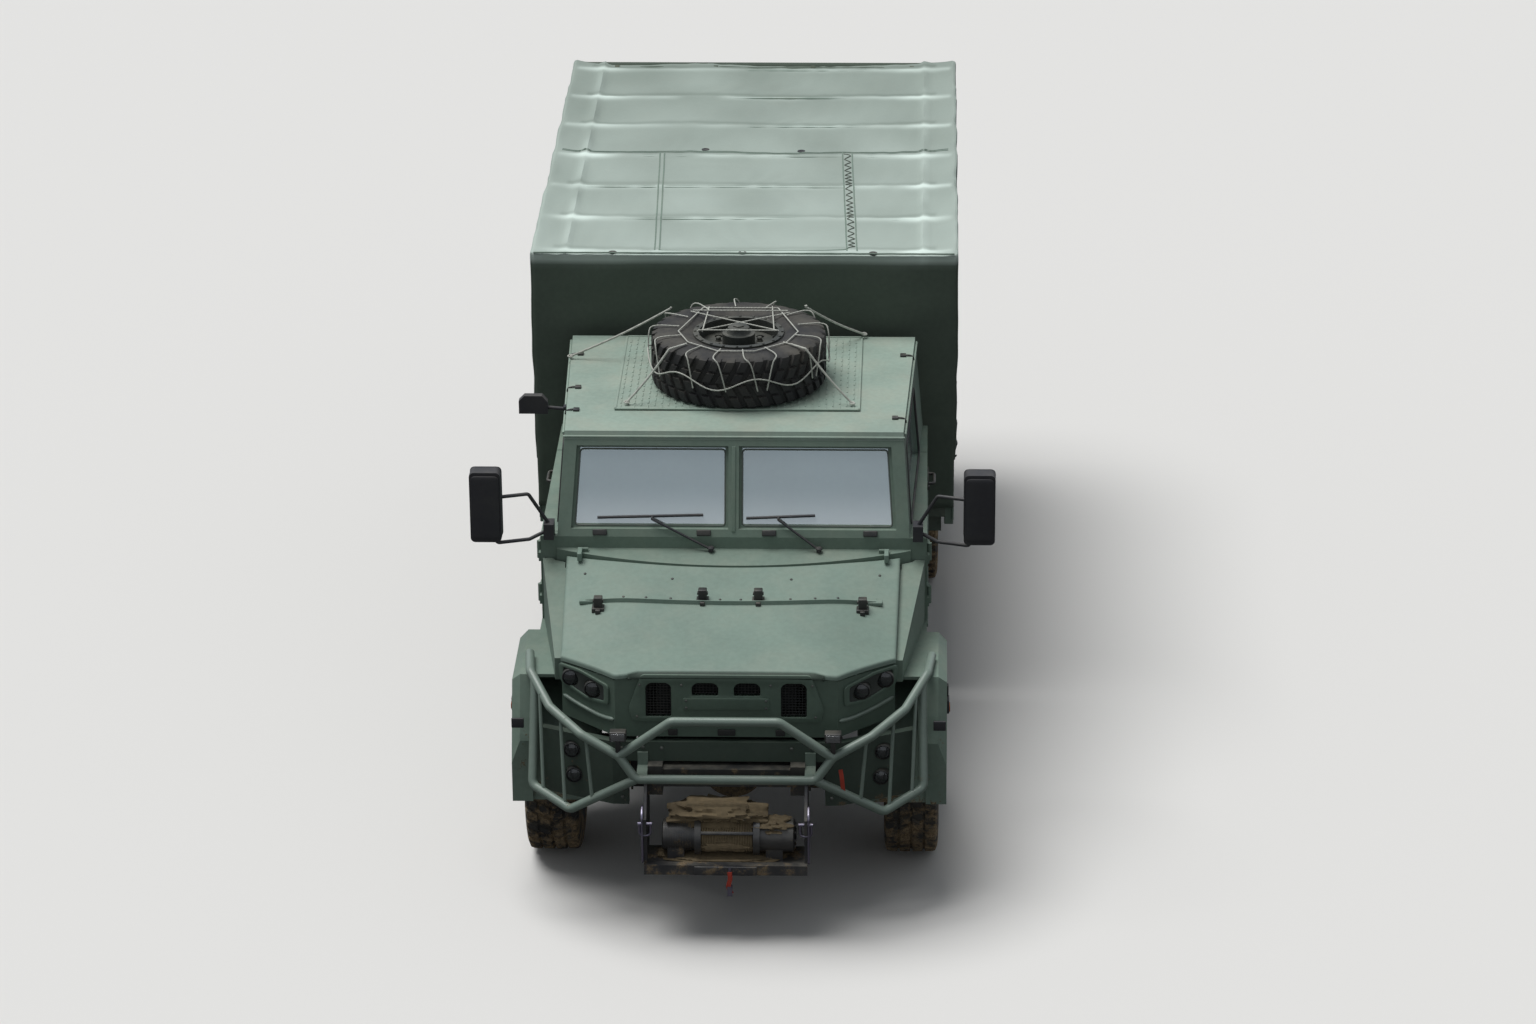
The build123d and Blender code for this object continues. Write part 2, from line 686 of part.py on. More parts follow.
def hood_top(x, y):
    """Height of the hood's upper face."""
    for low, high in zip(HOOD_ROWS, HOOD_ROWS[1:]):
        if y <= high[0]:
            part = (y - low[0]) / (high[0] - low[0])
            mid, edge, half, knee = [a + (b - a) * part for a, b in zip(low[1:], high[1:])]
            return mid - (mid - edge) * max(0, abs(x) - knee) / (half - knee)


def hood():
    """Hood lid: flat in the middle, falling to its front corners."""
    lid = loft([hood_section(*row) for row in HOOD_ROWS], ruled=True)
    side = hood_gap_y(HOOD_REAR_HALF) - GAP
    corner_x, corner_y = NOSE_CORNER
    middle = (0, HOOD_REAR_MID - GAP, 0)
    arc = ThreePointArc((-HOOD_REAR_HALF, side, 0), middle, (HOOD_REAR_HALF, side, 0))
    front = NOSE_Y - 8
    runs = [(HOOD_REAR_HALF, side), (corner_x + 4, corner_y), (NOSE_HALF, front), (-NOSE_HALF, front),
            (-corner_x - 4, corner_y), (-HOOD_REAR_HALF, side)]
    lines = [Line((*a, 0), (*b, 0)) for a, b in zip(runs, runs[1:])]
    lid = lid & extrude(make_face([arc] + lines), amount=3000, dir=(0, 0, 1))
    for x, y in HOOD_BRACKETS:
        z = hood_top(x, y)
        bracket = box((x - 18, x + 18), (y - 18, y + 18), (z - 12, z + 60))
        lid += bracket + swap(bracket)
    arm_x = (HOOD_HINGE_X, HOOD_HINGE_X + 24)
    arm = box(arm_x, (110, HOOD_HINGE_Y), (1468, HOOD_HINGE_Z + HOOD_HINGE_R - 2))
    edge = hood_gap_y(HOOD_HINGE_X) - GAP - 12
    arm -= box((0, 1000), (edge, 300), (0, HOOD_HINGE_Z - HOOD_HINGE_R + 2))
    arm += hinge_barrel(arm_x, HOOD_HINGE_Y, HOOD_HINGE_Z, HOOD_HINGE_R)
    write("hood", lid + arm + swap(arm))


GRILLE_SLOTS = (
    # x0, x1, z0, z1
    (255, 390, 1050, 1236),
    (30, 170, 1160, 1236),
)
LAMPS = (
    # centre, radius, depth: two upper and two lower ones on each side
    ((640, -690, 1150), 44, 60),
    ((752, -588, 1165), 44, 60),
    ((745, -742, 850), 40, 50),
    ((737, -747, 720), 40, 50),
)


def nose():
    line = [(-NOSE_CORNER[0], NOSE_CORNER[1]), (-NOSE_HALF, NOSE_Y), (NOSE_HALF, NOSE_Y), NOSE_CORNER]
    panel = strip(line, NOSE_T, NOSE_BOTTOM, 1300)
    above = []
    for y, mid, edge, half, knee in HOOD_ROWS:
        out = half + 60
        drop = edge - (mid - edge) * 60 / (half - knee)
        above.append(hood_section(y, mid - GAP, drop - GAP, out, knee, 200))
    panel -= loft(above, ruled=True)
    for x0, x1, z0, z1 in GRILLE_SLOTS:
        for s in (-1, 1):
            edges = sorted((s * x0, s * x1))
            panel -= box(edges, (NOSE_Y - 10, NOSE_Y + NOSE_T + 10), (z0, z1))
    for place, radius, depth in LAMPS[:2]:
        for s in (-1, 1):
            panel -= lamp_body(place, radius + 1, 160, s, 60)
    write("nose_panel", panel)


def lamp_body(place, radius, depth, sign, ahead=0):
    x, y, z = place
    return rod((sign * x, y - ahead, z), (sign * x, y + depth, z), radius)


def head_lamps():
    pieces = []
    for place, radius, depth in LAMPS:
        for s in (-1, 1):
            pieces.append(lamp_body(place, radius, depth, s))
    write("head_lamps", *pieces)


def bumper():
    line = [(-895, -662), (-545, -820), (545, -820), (895, -662)]
    panel = strip(line, 45, 600, 930)
    panel -= box((-470, 470), (-900, -700), (500, RAIL_TOP))
    for place, radius, depth in LAMPS[2:]:
        for s in (-1, 1):
            panel -= lamp_body(place, radius + 1, 160, s, 100)
    rail_x = (RAIL_X - RAIL_W / 2, RAIL_X + RAIL_W / 2)
    arm = box(rail_x, (-776, -700), (RAIL_TOP, 915))
    panel += arm + swap(arm)
    write("front_bumper", panel)


def brush_guard():
    r, bend = GUARD_R, 45
    half = [(975, -270, FENDER_TOP + GUARD_R + FIT), (955, -500, 1150), (850, -700, 1055), (690, -860, 985),
            (508, -935, 909), (427, -955, 797)]
    other = [(-x, y, z) for x, y, z in reversed(half)]
    main = tube(half + other, r, bend)
    hoop = tube([(508, -935, 909), (256, -954, 1100), (-256, -954, 1100), (-508, -935, 909)], r, bend)
    loop = tube([(427, -955, 797), (750, -864, 592), (939, -731, 657), (930, -548, 1127)], r, bend)
    foot = box((375, 425), (-955, -820), (RAIL_TOP - 40, 815))
    foot += box((375, 425), (-832, -820), (RAIL_TOP - 40, 880))
    whole = main + hoop + loop + swap(loop) + foot + swap(foot)
    write("brush_guard", whole)


def winch_set():
    edge = RAIL_X + RAIL_W / 2
    out = edge + PLATE_T
    floor, high = WINCH_Z - 120, RAIL_TOP - 50
    nose_y = CROSS_BAR_Y + 30
    outline = [(nose_y, floor), (nose_y, floor + 260), (-940, high), (-700, high),
               (-700, high - 80), (-840, floor)]
    plate = prism_x(outline, edge, out)
    lug = box((edge, out), (CROSS_BAR_Y - 2, nose_y + 10), (SHACKLE_Z - 50, SHACKLE_Z + 30))
    lug -= Pos(edge, SHACKLE_Y, SHACKLE_Z) * Rot(0, 90, 0) * Cylinder(SHACKLE_PIN_R + 0.5, 60)
    mount = plate + lug
    mount += swap(mount)
    mount += box((-edge - 1, edge + 1), (nose_y, -840), (floor, floor + 12))
    mount += box((-out, out), (CROSS_BAR_Y, nose_y + 10), (floor - 30, floor + 20))
    write("winch_mount", mount)
    y, z = WINCH_Y, WINCH_Z
    parts = (
        # from x, to x, radius
        (-300, -150, 74), (-150, -120, 96), (-120, 130, 74), (130, 160, 96), (160, 320, 80),
    )
    winch = rod((parts[0][0], y, z), (parts[0][1] + 1, y, z), parts[0][2])
    for x0, x1, radius in parts[1:]:
        winch += rod((x0, y, z), (x1 + 1, y, z), radius)
    for x in (-240, 230):
        winch += box((x - 40, x + 40), (y - 60, y + 60), (floor + 12, z))
    write("winch", winch)


def shackles():
    mid = RAIL_X + RAIL_W / 2 + PLATE_T / 2
    y, z, half, bar = SHACKLE_Y, SHACKLE_Z, 26, 7
    pin = rod((mid - 34, y, z), (mid + 34, y, z), SHACKLE_PIN_R)
    line = [(mid - half, y, z), (mid - half, y, z - 60), (mid + half, y, z - 60), (mid + half, y, z)]
    piece = pin + tube(line, bar, 18)
    top = WINCH_Z - 108
    hook_y = CROSS_BAR_Y - bar - FIT
    hook = rod((20, hook_y, top), (20, hook_y, top - 102), bar)
    hook += box((8, 32), (-FRONT_OVERHANG, CROSS_BAR_Y), (top - 142, top - 92))
    write("shackles", *pair(piece), hook)


def fenders():
    arch = Pos(0, 0, TYRE_R) * Rot(0, 90, 0) * Cylinder(ARCH_R, 4000)
    liner_out = Pos(0, 0, TYRE_R) * Rot(0, 90, 0) * Cylinder(ARCH_R + ARCH_T, 4000)
    outline = [(-592, 500), (-588, 820), (-470, FENDER_TOP), (FLARE_TOP_REAR, FENDER_TOP), (516, 880),
               (600, 800), (600, 500)]
    flare = prism_x(outline, FLARE_IN, FLARE_OUT)
    rim_edges = [e for e in flare.faces().sort_by(Axis.X)[-1].edges() if e.center().Z > 700]
    flare = chamfer(rim_edges, FLARE_BEVEL)
    liner = liner_out & box((620, FLARE_OUT), (-700, 700), (500, 900))
    liner += liner_out & box((620, FLARE_OUT), (-500, FLARE_TOP_REAR), (880, 1100))
    liner += liner_out & box((620, FLARE_IN), (FLARE_TOP_REAR - 1, 500), (880, 1100))
    sheet = (FENDER_TOP - 16, FENDER_TOP)
    deck = box((620, FLARE_IN + 1), (-468, 130), sheet)
    deck += box((CAB_HALF - DOOR_T, FLARE_IN + 1), (129, WING_REAR), sheet)
    skirt = box((FLARE_IN - 16, FLARE_IN + 1), (FLARE_TOP_REAR - 40, WING_REAR), (900, FENDER_TOP))
    front = NOSE_CORNER[1] + NOSE_T + FIT
    plan = prism_z([(784, front), (836, front), (940, WING_REAR), (892, WING_REAR), (876, 180),
                    (826, 164), (826, 124), (802, 124)], 0, 3000)
    slope = [(front, FENDER_TOP - 10), (front, 1222), (WING_REAR, 1446), (WING_REAR, FENDER_TOP - 10)]
    wing = plan & prism_x(slope, 0, 1200)
    inner = box((620, 640), (-560, 130), (RAIL_TOP, FENDER_TOP))
    side = flare + liner + deck + skirt + wing + inner - arch
    write("fenders", *pair(side))


def dashboard():
    outline = [(160, 1250), (160, 1424), (262, 1424), (262, 1500), (430, 1500), (490, 1440), (440, 1250)]
    dash = prism_x(outline, -800, 800)
    column = rod((WHEEL_X, 420, 1330), (WHEEL_X, 600, 1405), 28)
    write("dashboard", dash + column)
    centre = Plane(origin=(WHEEL_X, 640, 1421.7), z_dir=(0, 180, 75))
    ring = centre * Torus(WHEEL_RING_R, 15)
    spokes = centre * Pos(0, 0, -15) * Cylinder(24, 56)
    for a in (0, 120, 240):
        spokes += centre * Rot(0, 0, a) * Pos(100, 0, 0) * Box(184, 28, 10)
    write("steering_wheel", ring + spokes)


def seats():
    pieces = []
    for s in (-1, 1):
        across = sorted(s * x for x in SEAT_X)
        cushion = box(across, (760, 1250), (SEAT_BOX_TOP + FIT, SEAT_TOP))
        back = prism_x([(1250 + FIT, 1110), (1370, 1110), (1480, 1790), (1370, 1790)], *across)
        pieces += [cushion, back]
    write("seats", *pieces)


def mirrors():
    pieces = []
    case = fillet(box((1128, MIRROR_HALF), (70, 150), (1580, 1945)).edges().filter_by(Axis.Y), 24)
    block = box((880, 930), (150, 235), (WAIST_Z, 1640))
    low = tube([(905, 190, 1600), (1000, 160, 1560), (1160, 110, 1560), (1160, 110, 1640)], 9, 20)
    high = tube([(905, 190, 1630), (1000, 160, 1800), (1160, 110, 1800)], 9, 20)
    pieces += pair(case + block + low + high)
    front, rear = KERB_MIRROR_Y
    low_z = ROOF_Z - ROOF_T + 2
    outline = [(-1082, low_z), (-938, low_z), (-938, low_z + 62), (-966, low_z + 94), (-1054, low_z + 94),
               (-1082, low_z + 66)]
    kerb = prism_y(outline, front, rear)
    edge = half_width(rear, low_z) + FIT
    arm = box((-edge - 12, -edge), KERB_MIRROR_Y, (low_z, low_z + 36))
    middle = (front + rear) / 2
    arm += rod((-944, middle, low_z + 28), (-edge - 6, middle, low_z + 20), 9)
    write("mirrors", *pieces, kerb + arm)


def wipers():
    """Two wipers, parked low on the panes."""
    rows = (
        # spindle x, arm's end x, blade from, blade to
        (-110, -400, -670, -150),
        (420, 220, 62, 400),
    )
    pieces = []
    for x, end, x0, x1 in rows:
        tip = (end, screen_y(1648) - 16, 1648)
        whole = rod((x, 172, 1496.5), (x, 172, 1512), 12) + rod((x, 172, 1506), tip, 6)
        whole += rod(tip, (end, screen_y(1648) + 20, 1648), 5)
        whole += rod((x0, screen_y(1641) + 20, 1641), (x1, screen_y(1655) + 20, 1655), 7)
        pieces.append(whole)
    write("wipers", *pieces)


def spare_wheel():
    z = ROOF_Z + TREAD_T + TYRE_W / 2
    place = Pos(0, 1060, z) * Rot(0, -90, 0)
    write("spare_tyre", place * tyre())
    write("spare_rim", place * rim())


# Load bed


def bearer_places():
    """Cross bearers under the deck: the ends, both sides of the rear wheels, and midway between."""
    first, last = BED_FRONT + 85, GATE_FRONT - 145
    before, behind = WHEELBASE - TYRE_R - 80, WHEELBASE + TYRE_R + 80
    return first, (first + before) / 2, before, behind, (behind + last) / 2, last


def load_bed():
    deck = box((-BED_HALF, BED_HALF), (BED_FRONT, GATE_FRONT - GAP), (DECK_TOP - DECK_T, DECK_TOP))
    deck += box((-BED_HALF, BED_HALF), (BED_FRONT, BED_FRONT + 35), (DECK_TOP - 1, HEADBOARD_TOP))
    for s in (-1, 1):
        edges = sorted((s * (RAIL_X - 32), s * (RAIL_X + 32)))
        deck += box(edges, (BED_FRONT, RAIL_REAR + 10), (RAIL_TOP, BEARER_UNDER + 5))
    for y in bearer_places():
        across = (-BED_HALF + 20, BED_HALF - 20)
        deck += box(across, (y - BEARER_HALF, y + BEARER_HALF), (BEARER_UNDER, DECK_TOP - DECK_T + 1))
    root = RAIL_REAR - 10
    low = GATE_HINGE_Z - GATE_HINGE_R
    for s in (-1, 1):
        for x in HINGE_XS:
            at = sorted((s * x, s * (x + 30)))
            deck += box(at, (root, GATE_HINGE_Y), (low - 9, low + 7))
            deck += box(at, (root, root + 50), (low, DECK_TOP - 5))
            deck += hinge_barrel(at, GATE_HINGE_Y, GATE_HINGE_Z, GATE_HINGE_R)
    write("load_bed", deck)
    foot = DECK_TOP - DECK_T - 20
    side = box((BED_HALF, BED_HALF + BOARD_T), (BED_FRONT, GATE_FRONT - GAP), (foot, BOARD_TOP))
    write("side_boards", *pair(side))
    foot, back = DECK_TOP - 38, GATE_FRONT + BOARD_T
    gate = box((-BED_HALF + GAP, BED_HALF - GAP), (GATE_FRONT, back), (foot, BOARD_TOP))
    for s in (-1, 1):
        for x in HINGE_XS:
            at = sorted((s * (x + 30 + FIT), s * (x + 60)))
            gate += box(at, (back - 1, back + 8), (foot, 1200))
            gate += hinge_barrel(at, GATE_HINGE_Y, GATE_HINGE_Z, GATE_HINGE_R)
    write("tailgate", gate)


def cover():
    posts, beams = [], []
    first, last = BED_FRONT + 20, COVER_REAR - 150
    x = (BED_HALF, BED_HALF + BOARD_T)
    top = COVER_TOP - COVER_T - FIT
    for i in range(BOW_COUNT):
        y = first + (last - first) * i / (BOW_COUNT - 1)
        post = box(x, (y - BOW_T / 2, y + BOW_T / 2), (BOARD_TOP, top - BOW_T))
        posts += pair(post)
        beams.append(box((-x[1], x[1]), (y - BOW_T / 2, y + BOW_T / 2), (top - BOW_T, top)))
    write("bow_posts", *posts)
    write("bow_beams", *beams)
    inner = BODY_HALF - COVER_T
    shell = box((-BODY_HALF, BODY_HALF), (COVER_FRONT, COVER_REAR), (COVER_HEM, COVER_TOP))
    shell -= box((-inner, inner), (COVER_FRONT + COVER_T, COVER_REAR + 10), (0, COVER_TOP - COVER_T))
    front = (COVER_FRONT, COVER_FRONT + COVER_T)
    shell += box((-BODY_HALF, BODY_HALF), front, (COVER_FRONT_HEM, COVER_HEM + 1))
    roll_y, roll_z = COVER_REAR - ROLL_R - 12, COVER_TOP - COVER_T - ROLL_R - FIT
    roll = rod((20 - inner, roll_y, roll_z), (inner - 20, roll_y, roll_z), ROLL_R)
    write("tarpaulin", shell, roll)


def rear_end():
    bar = box((-950, 950), (RAIL_REAR - 60, RAIL_REAR), UNDERRUN_Z)
    for s in (-1, 1):
        edges = sorted((s * (RAIL_X - 30), s * (RAIL_X + 30)))
        bar += box(edges, (RAIL_REAR - 40, RAIL_REAR - 5), (UNDERRUN_Z[1] - 5, RAIL_TOP - RAIL_H))
    write("rear_underrun", bar)
    under = DECK_TOP - DECK_T
    lamp = box((760, 1000), (RAIL_REAR - 50, RAIL_REAR + 10), (under - 130, under))
    write("tail_lamps", *pair(lamp))
    flap_y = WHEELBASE + TYRE_R + 80 + BEARER_HALF
    flap = box((740, 1020), (flap_y, flap_y + FLAP_T), (TYRE_R - 20, under))
    write("mud_flaps", *pair(flap))
    z = JAW_Z
    jaw = box((-50, 50), (RAIL_REAR - 10, RAIL_REAR + 75), (z - 60, z + 60))
    jaw -= box((-60, 60), (RAIL_REAR + 10, RAIL_REAR + 110), (z - 25, z + 25))
    jaw -= Pos(0, RAIL_REAR + 40, z) * Cylinder(JAW_BORE_R, 300)
    write("tow_hitch", jaw)


def main():
    os.makedirs("parts", exist_ok=True)
    wheels()
    ladder_frame()
    suspension()
    axles()
    knuckles()
    power_train()
    exhaust()
    side_tanks()
    cab_floor()
    doors()
    cab_sides()
    cab_rear_wall()
    windscreen()
    cab_roof()
    cowl()
    hood()
    nose()
    head_lamps()
    bumper()
    brush_guard()
    winch_set()
    shackles()
    fenders()
    dashboard()
    seats()
    mirrors()
    wipers()
    spare_wheel()
    load_bed()
    cover()
    rear_end()
    print(len(made), "nodes")


main()
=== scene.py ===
"""Looks of a light military cargo truck: tyres, cover, lamps, ropes, seats and every finish."""
import math

import bmesh
import bpy
import numpy as np
from mathutils import Matrix


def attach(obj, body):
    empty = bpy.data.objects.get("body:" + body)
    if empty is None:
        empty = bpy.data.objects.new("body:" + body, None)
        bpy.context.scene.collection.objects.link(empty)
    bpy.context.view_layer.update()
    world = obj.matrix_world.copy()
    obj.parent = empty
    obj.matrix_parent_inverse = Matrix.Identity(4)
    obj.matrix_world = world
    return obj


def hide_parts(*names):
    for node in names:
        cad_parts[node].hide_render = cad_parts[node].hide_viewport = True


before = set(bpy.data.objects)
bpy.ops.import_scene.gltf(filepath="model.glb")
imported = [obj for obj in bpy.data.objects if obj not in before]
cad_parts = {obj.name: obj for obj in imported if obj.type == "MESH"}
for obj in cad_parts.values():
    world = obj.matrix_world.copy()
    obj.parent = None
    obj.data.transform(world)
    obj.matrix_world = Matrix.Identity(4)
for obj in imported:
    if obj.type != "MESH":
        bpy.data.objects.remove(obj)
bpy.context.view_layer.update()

bl_info = {
    "name": "Military cargo truck",
    "version": (1, 0, 0),
    "blender": (4, 5, 0),
    "location": "3D View > Sidebar > Truck",
    "description": "Builds the looks of a light military cargo truck around its packed frame",
    "category": "Add Mesh",
}

# Y is counted from the front axle while a piece is made, and is shifted once by AXLE_Y.
AXLE_Y = -2.005
HALF_TRACK, AXLE_Z, WHEELBASE = 0.88, 0.44, 3.4
TYRE_R, TYRE_HALF = 0.44, 0.135  # radius, and half the width
WHEELS = tuple(
    # name, middle of the tyre, side, body
    (name, (side * HALF_TRACK, y, AXLE_Z), side, "wheel_" + name)
    for name, side, y in (("front_left", 1, 0.0), ("front_right", -1, 0.0),
                          ("rear_left", 1, WHEELBASE), ("rear_right", -1, WHEELBASE))
)
SPARE = (0.0, 1.06, 2.193)
COVER = {"half": 1.103, "front": 1.785, "rear": 5.105, "top": 2.48, "hem": 1.33, "front_hem": 1.062}
BOWS = np.linspace(1.835, 4.955, 7)
FOLD_X = 0.925  # the fold line along each side of the roof
FLAP_Y = (1.84, 3.465)  # front and rear of the roof flap
NOSE_FACE = ((0.53, -0.8), (0.8, -0.55))  # x and y where the nose's slanted side starts and ends
SCREEN_FOOT, SILL_Z = 0.198, 1.56  # y and z of the windscreen's lower edge
SCREEN_LEAN, SCREEN_RISE = 0.174, 0.49  # how far it goes back, and up
DOOR_X, BOARD_X, GATE_Y = 0.951, 1.079, 5.079  # outer faces of doors, side boards and tailgate
GRILLE_Y, BROW_Y, LIP_Y = -0.8065, -0.7915, -0.8125
WINCH_Y, WINCH_Z = -0.935, 0.5  # the drum's axis
SPRING_X = 0.43  # middle of a spring and of the rail above it
SHARP = math.radians(38)  # faces that meet at more than this keep a sharp edge

# Axes of a plate by the way it looks: columns are its x, its y and its thickness
LOOKS_FRONT = np.array([(1, 0, 0), (0, 0, -1), (0, 1, 0)], float)
LOOKS_REAR = np.array([(-1, 0, 0), (0, 0, 1), (0, 1, 0)], float)
LOOKS_LEFT = np.array([(0, 0, 1), (1, 0, 0), (0, 1, 0)], float)
LOOKS_DOWN = np.array([(0, 1, 0), (1, 0, 0), (0, 0, -1)], float)
ACROSS, ALONG = (1, 0, 0), (0, 1, 0)

# ---- Shapes: each is (points, faces), and lists of them are joined into one piece


def quads(rows, cols, wrap_rows=False, wrap_cols=False):
    """Faces of a grid: each joins a point to the next one in its row and in its column."""
    r, c = np.meshgrid(
        np.arange(rows if wrap_rows else rows - 1),
        np.arange(cols if wrap_cols else cols - 1),
        indexing="ij",
    )
    r2, c2 = (r + 1) % rows, (c + 1) % cols
    faces = np.stack([r * cols + c, r2 * cols + c, r2 * cols + c2, r * cols + c2], -1)
    return faces.reshape(-1, 4)


def sheet_shape(points, wrap_rows=False, wrap_cols=False, cap=False):
    """A grid of points as a surface. cap closes the first and the last row with flat faces."""
    rows, cols = points.shape[:2]
    faces = quads(rows, cols, wrap_rows, wrap_cols).tolist()
    if cap:
        faces.append(list(range(cols)))
        faces.append(list(range((rows - 1) * cols, rows * cols))[::-1])
    return points.reshape(-1, 3), faces


def join(*shapes):
    """Several shapes as one."""
    points, faces, start = [], [], 0
    for p, f in shapes:
        points.append(np.asarray(p, float))
        faces += [[i + start for i in face] for face in f]
        start += len(p)
    return np.concatenate(points), faces


def moved(shape, by=(0, 0, 0), turn=None):
    """A shape turned by a 3 by 3 matrix whose columns are its new axes, then moved."""
    p = np.asarray(shape[0], float)
    if turn is not None:
        p = p @ np.asarray(turn, float).T
    return p + np.asarray(by, float), shape[1]


def inside_out(shape):
    """The same shape with its faces turned round."""
    return shape[0], [face[::-1] for face in shape[1]]


def sided(shape, side):
    """A shape made for the left side, put on the side that is asked for."""
    return shape if side > 0 else inside_out((shape[0] * np.array([-1.0, 1, 1]), shape[1]))


def both(*shapes):
    """The shapes and their mirror images across the truck."""
    shape = join(*shapes)
    return join(shape, sided(shape, -1))


def xyz(x, y, z):
    """Points from three rows of coordinates, any of which may be one number."""
    return np.stack(np.broadcast_arrays(x, y, z), -1).astype(float)


def circle(count, radius=1.0, start=0.0):
    """Cosine and sine of even angles round a circle, times its radius."""
    a = np.linspace(0, 2 * np.pi, count, endpoint=False) + start
    return radius * np.cos(a), radius * np.sin(a)


def read_mesh(mesh, what="co"):
    """The places (co) or normals of a mesh's vertices, one row each."""
    values = np.empty(len(mesh.vertices) * 3)
    mesh.vertices.foreach_get(what, values)
    return values.reshape(-1, 3)


def axes_to(direction, up=(0, 0, 1)):
    """Turning matrix that carries +Z to a direction, with its Y as near to up as it can be."""
    z = np.asarray(direction, float)
    z = z / np.linalg.norm(z)
    x = np.cross(up, z)
    if np.linalg.norm(x) < 1e-6:
        x = np.cross((0, 1, 0), z)
    x = x / np.linalg.norm(x)
    return np.stack([x, np.cross(z, x), z], 1)


def revolve(profile, sides=32, centre=(0, 0, 0), axis=(0, 0, 1)):
    """A profile of (along, radius) turned round an axis: x = r cos a, y = r sin a, z = along."""
    along, radius = np.asarray(profile, float).T
    c, s = circle(sides)
    rings = xyz(radius[:, None] * c, radius[:, None] * s, along[:, None])
    return moved(sheet_shape(rings, wrap_cols=True), centre, axes_to(axis))


def along_path(path, closed=False):
    """Tangent and two square directions at each point of a path."""
    p = np.asarray(path, float)
    t = np.roll(p, -1, 0) - np.roll(p, 1, 0) if closed else np.gradient(p, axis=0)
    t = t / np.linalg.norm(t, axis=1, keepdims=True)
    ref = np.zeros(3)
    ref[np.argmin(np.abs(t).max(0))] = 1.0
    a = np.cross(t, ref)
    a = a / np.linalg.norm(a, axis=1, keepdims=True)
    return p, t, a, np.cross(t, a)


def tube(path, radius, sides=10, closed=False):
    """Round bar: a circle set square to the path at each of its points."""
    p, _, a, b = along_path(path, closed)
    c, s = (row[None, :, None] for row in circle(sides))
    ring = c * a[:, None] + s * b[:, None]
    r = np.broadcast_to(np.asarray(radius, float), (len(p),))[:, None, None]
    return sheet_shape(p[:, None] + r * ring, wrap_rows=closed, wrap_cols=True, cap=not closed)


def rope(path, radius, pitch=0.035, step=0.006):
    """Three-strand rope: the radius swells three times round, and the swelling turns with length."""
    path = even(path, step)
    p, _, a, b = along_path(path)
    run = np.concatenate([[0], np.cumsum(np.linalg.norm(np.diff(p, axis=0), axis=1))])
    angle = np.linspace(0, 2 * np.pi, 9, endpoint=False)
    wave = np.abs(np.cos(1.5 * (angle[None] - 2 * np.pi * run[:, None] / pitch)))
    r = radius * (0.78 + 0.22 * wave)
    ring = np.cos(angle)[None, :, None] * a[:, None] + np.sin(angle)[None, :, None] * b[:, None]
    return sheet_shape(p[:, None] + r[..., None] * ring, wrap_cols=True, cap=True)


def even(path, step):
    """The same polyline with points about step apart."""
    p = np.asarray(path, float)
    run = np.concatenate([[0], np.cumsum(np.linalg.norm(np.diff(p, axis=0), axis=1))])
    at = np.linspace(0, run[-1], max(2, int(run[-1] / step) + 1))
    return np.stack([np.interp(at, run, p[:, i]) for i in range(3)], 1)


def curve(points, per_span=8, closed=False):
    """Catmull-Rom curve through the points."""
    p = np.asarray(points, float)
    if closed:
        p = np.concatenate([p[-1:], p, p[:2]])
    else:
        p = np.concatenate([2 * p[:1] - p[1:2], p, 2 * p[-1:] - p[-2:-1]])
    t = np.linspace(0, 1, per_span, endpoint=False)[None, :, None]
    a, b, c, d = (p[i:len(p) - 3 + i, None] for i in range(4))
    second, third = 2 * a - 5 * b + 4 * c - d, 3 * b - a - 3 * c + d
    out = 0.5 * (2 * b + (c - a) * t + second * t ** 2 + third * t ** 3)
    out = out.reshape(-1, p.shape[1])
    return out if closed else np.concatenate([out, p[-2:-1]])


def bent(points, radius, steps=5, closed=False):
    """A polyline whose corners are rounded: each becomes a quadratic arc radius long on both runs."""
    p = np.asarray(points, float)
    ids = range(len(p)) if closed else range(1, len(p) - 1)
    out = [] if closed else [p[:1]]
    t = np.linspace(0, 1, steps + 1)[:, None]
    for i in ids:
        before, here, after = p[i - 1], p[i], p[(i + 1) % len(p)]
        cut = min(radius, np.linalg.norm(before - here) * 0.49, np.linalg.norm(after - here) * 0.49)
        a = here + (before - here) / np.linalg.norm(before - here) * cut
        b = here + (after - here) / np.linalg.norm(after - here) * cut
        out.append((1 - t) ** 2 * a + 2 * t * (1 - t) * here + t ** 2 * b)
    if not closed:
        out.append(p[-1:])
    return np.concatenate(out)


def strap(path, width, thick, across):
    """Flat webbing: a thin rectangle carried along a path, its width along one direction."""
    p, t, _, _ = along_path(path)
    side = np.broadcast_to(np.asarray(across, float), p.shape)
    side = side - t * (side * t).sum(1, keepdims=True)
    side = side / np.linalg.norm(side, axis=1, keepdims=True)
    up = np.cross(t, side)
    corners = np.array([(-1, -1), (1, -1), (1, 1), (-1, 1)]) * 0.5
    points = p[:, None] + corners[None, :, :1] * width * side[:, None]
    return sheet_shape(points + corners[None, :, 1:] * thick * up[:, None], wrap_cols=True, cap=True)


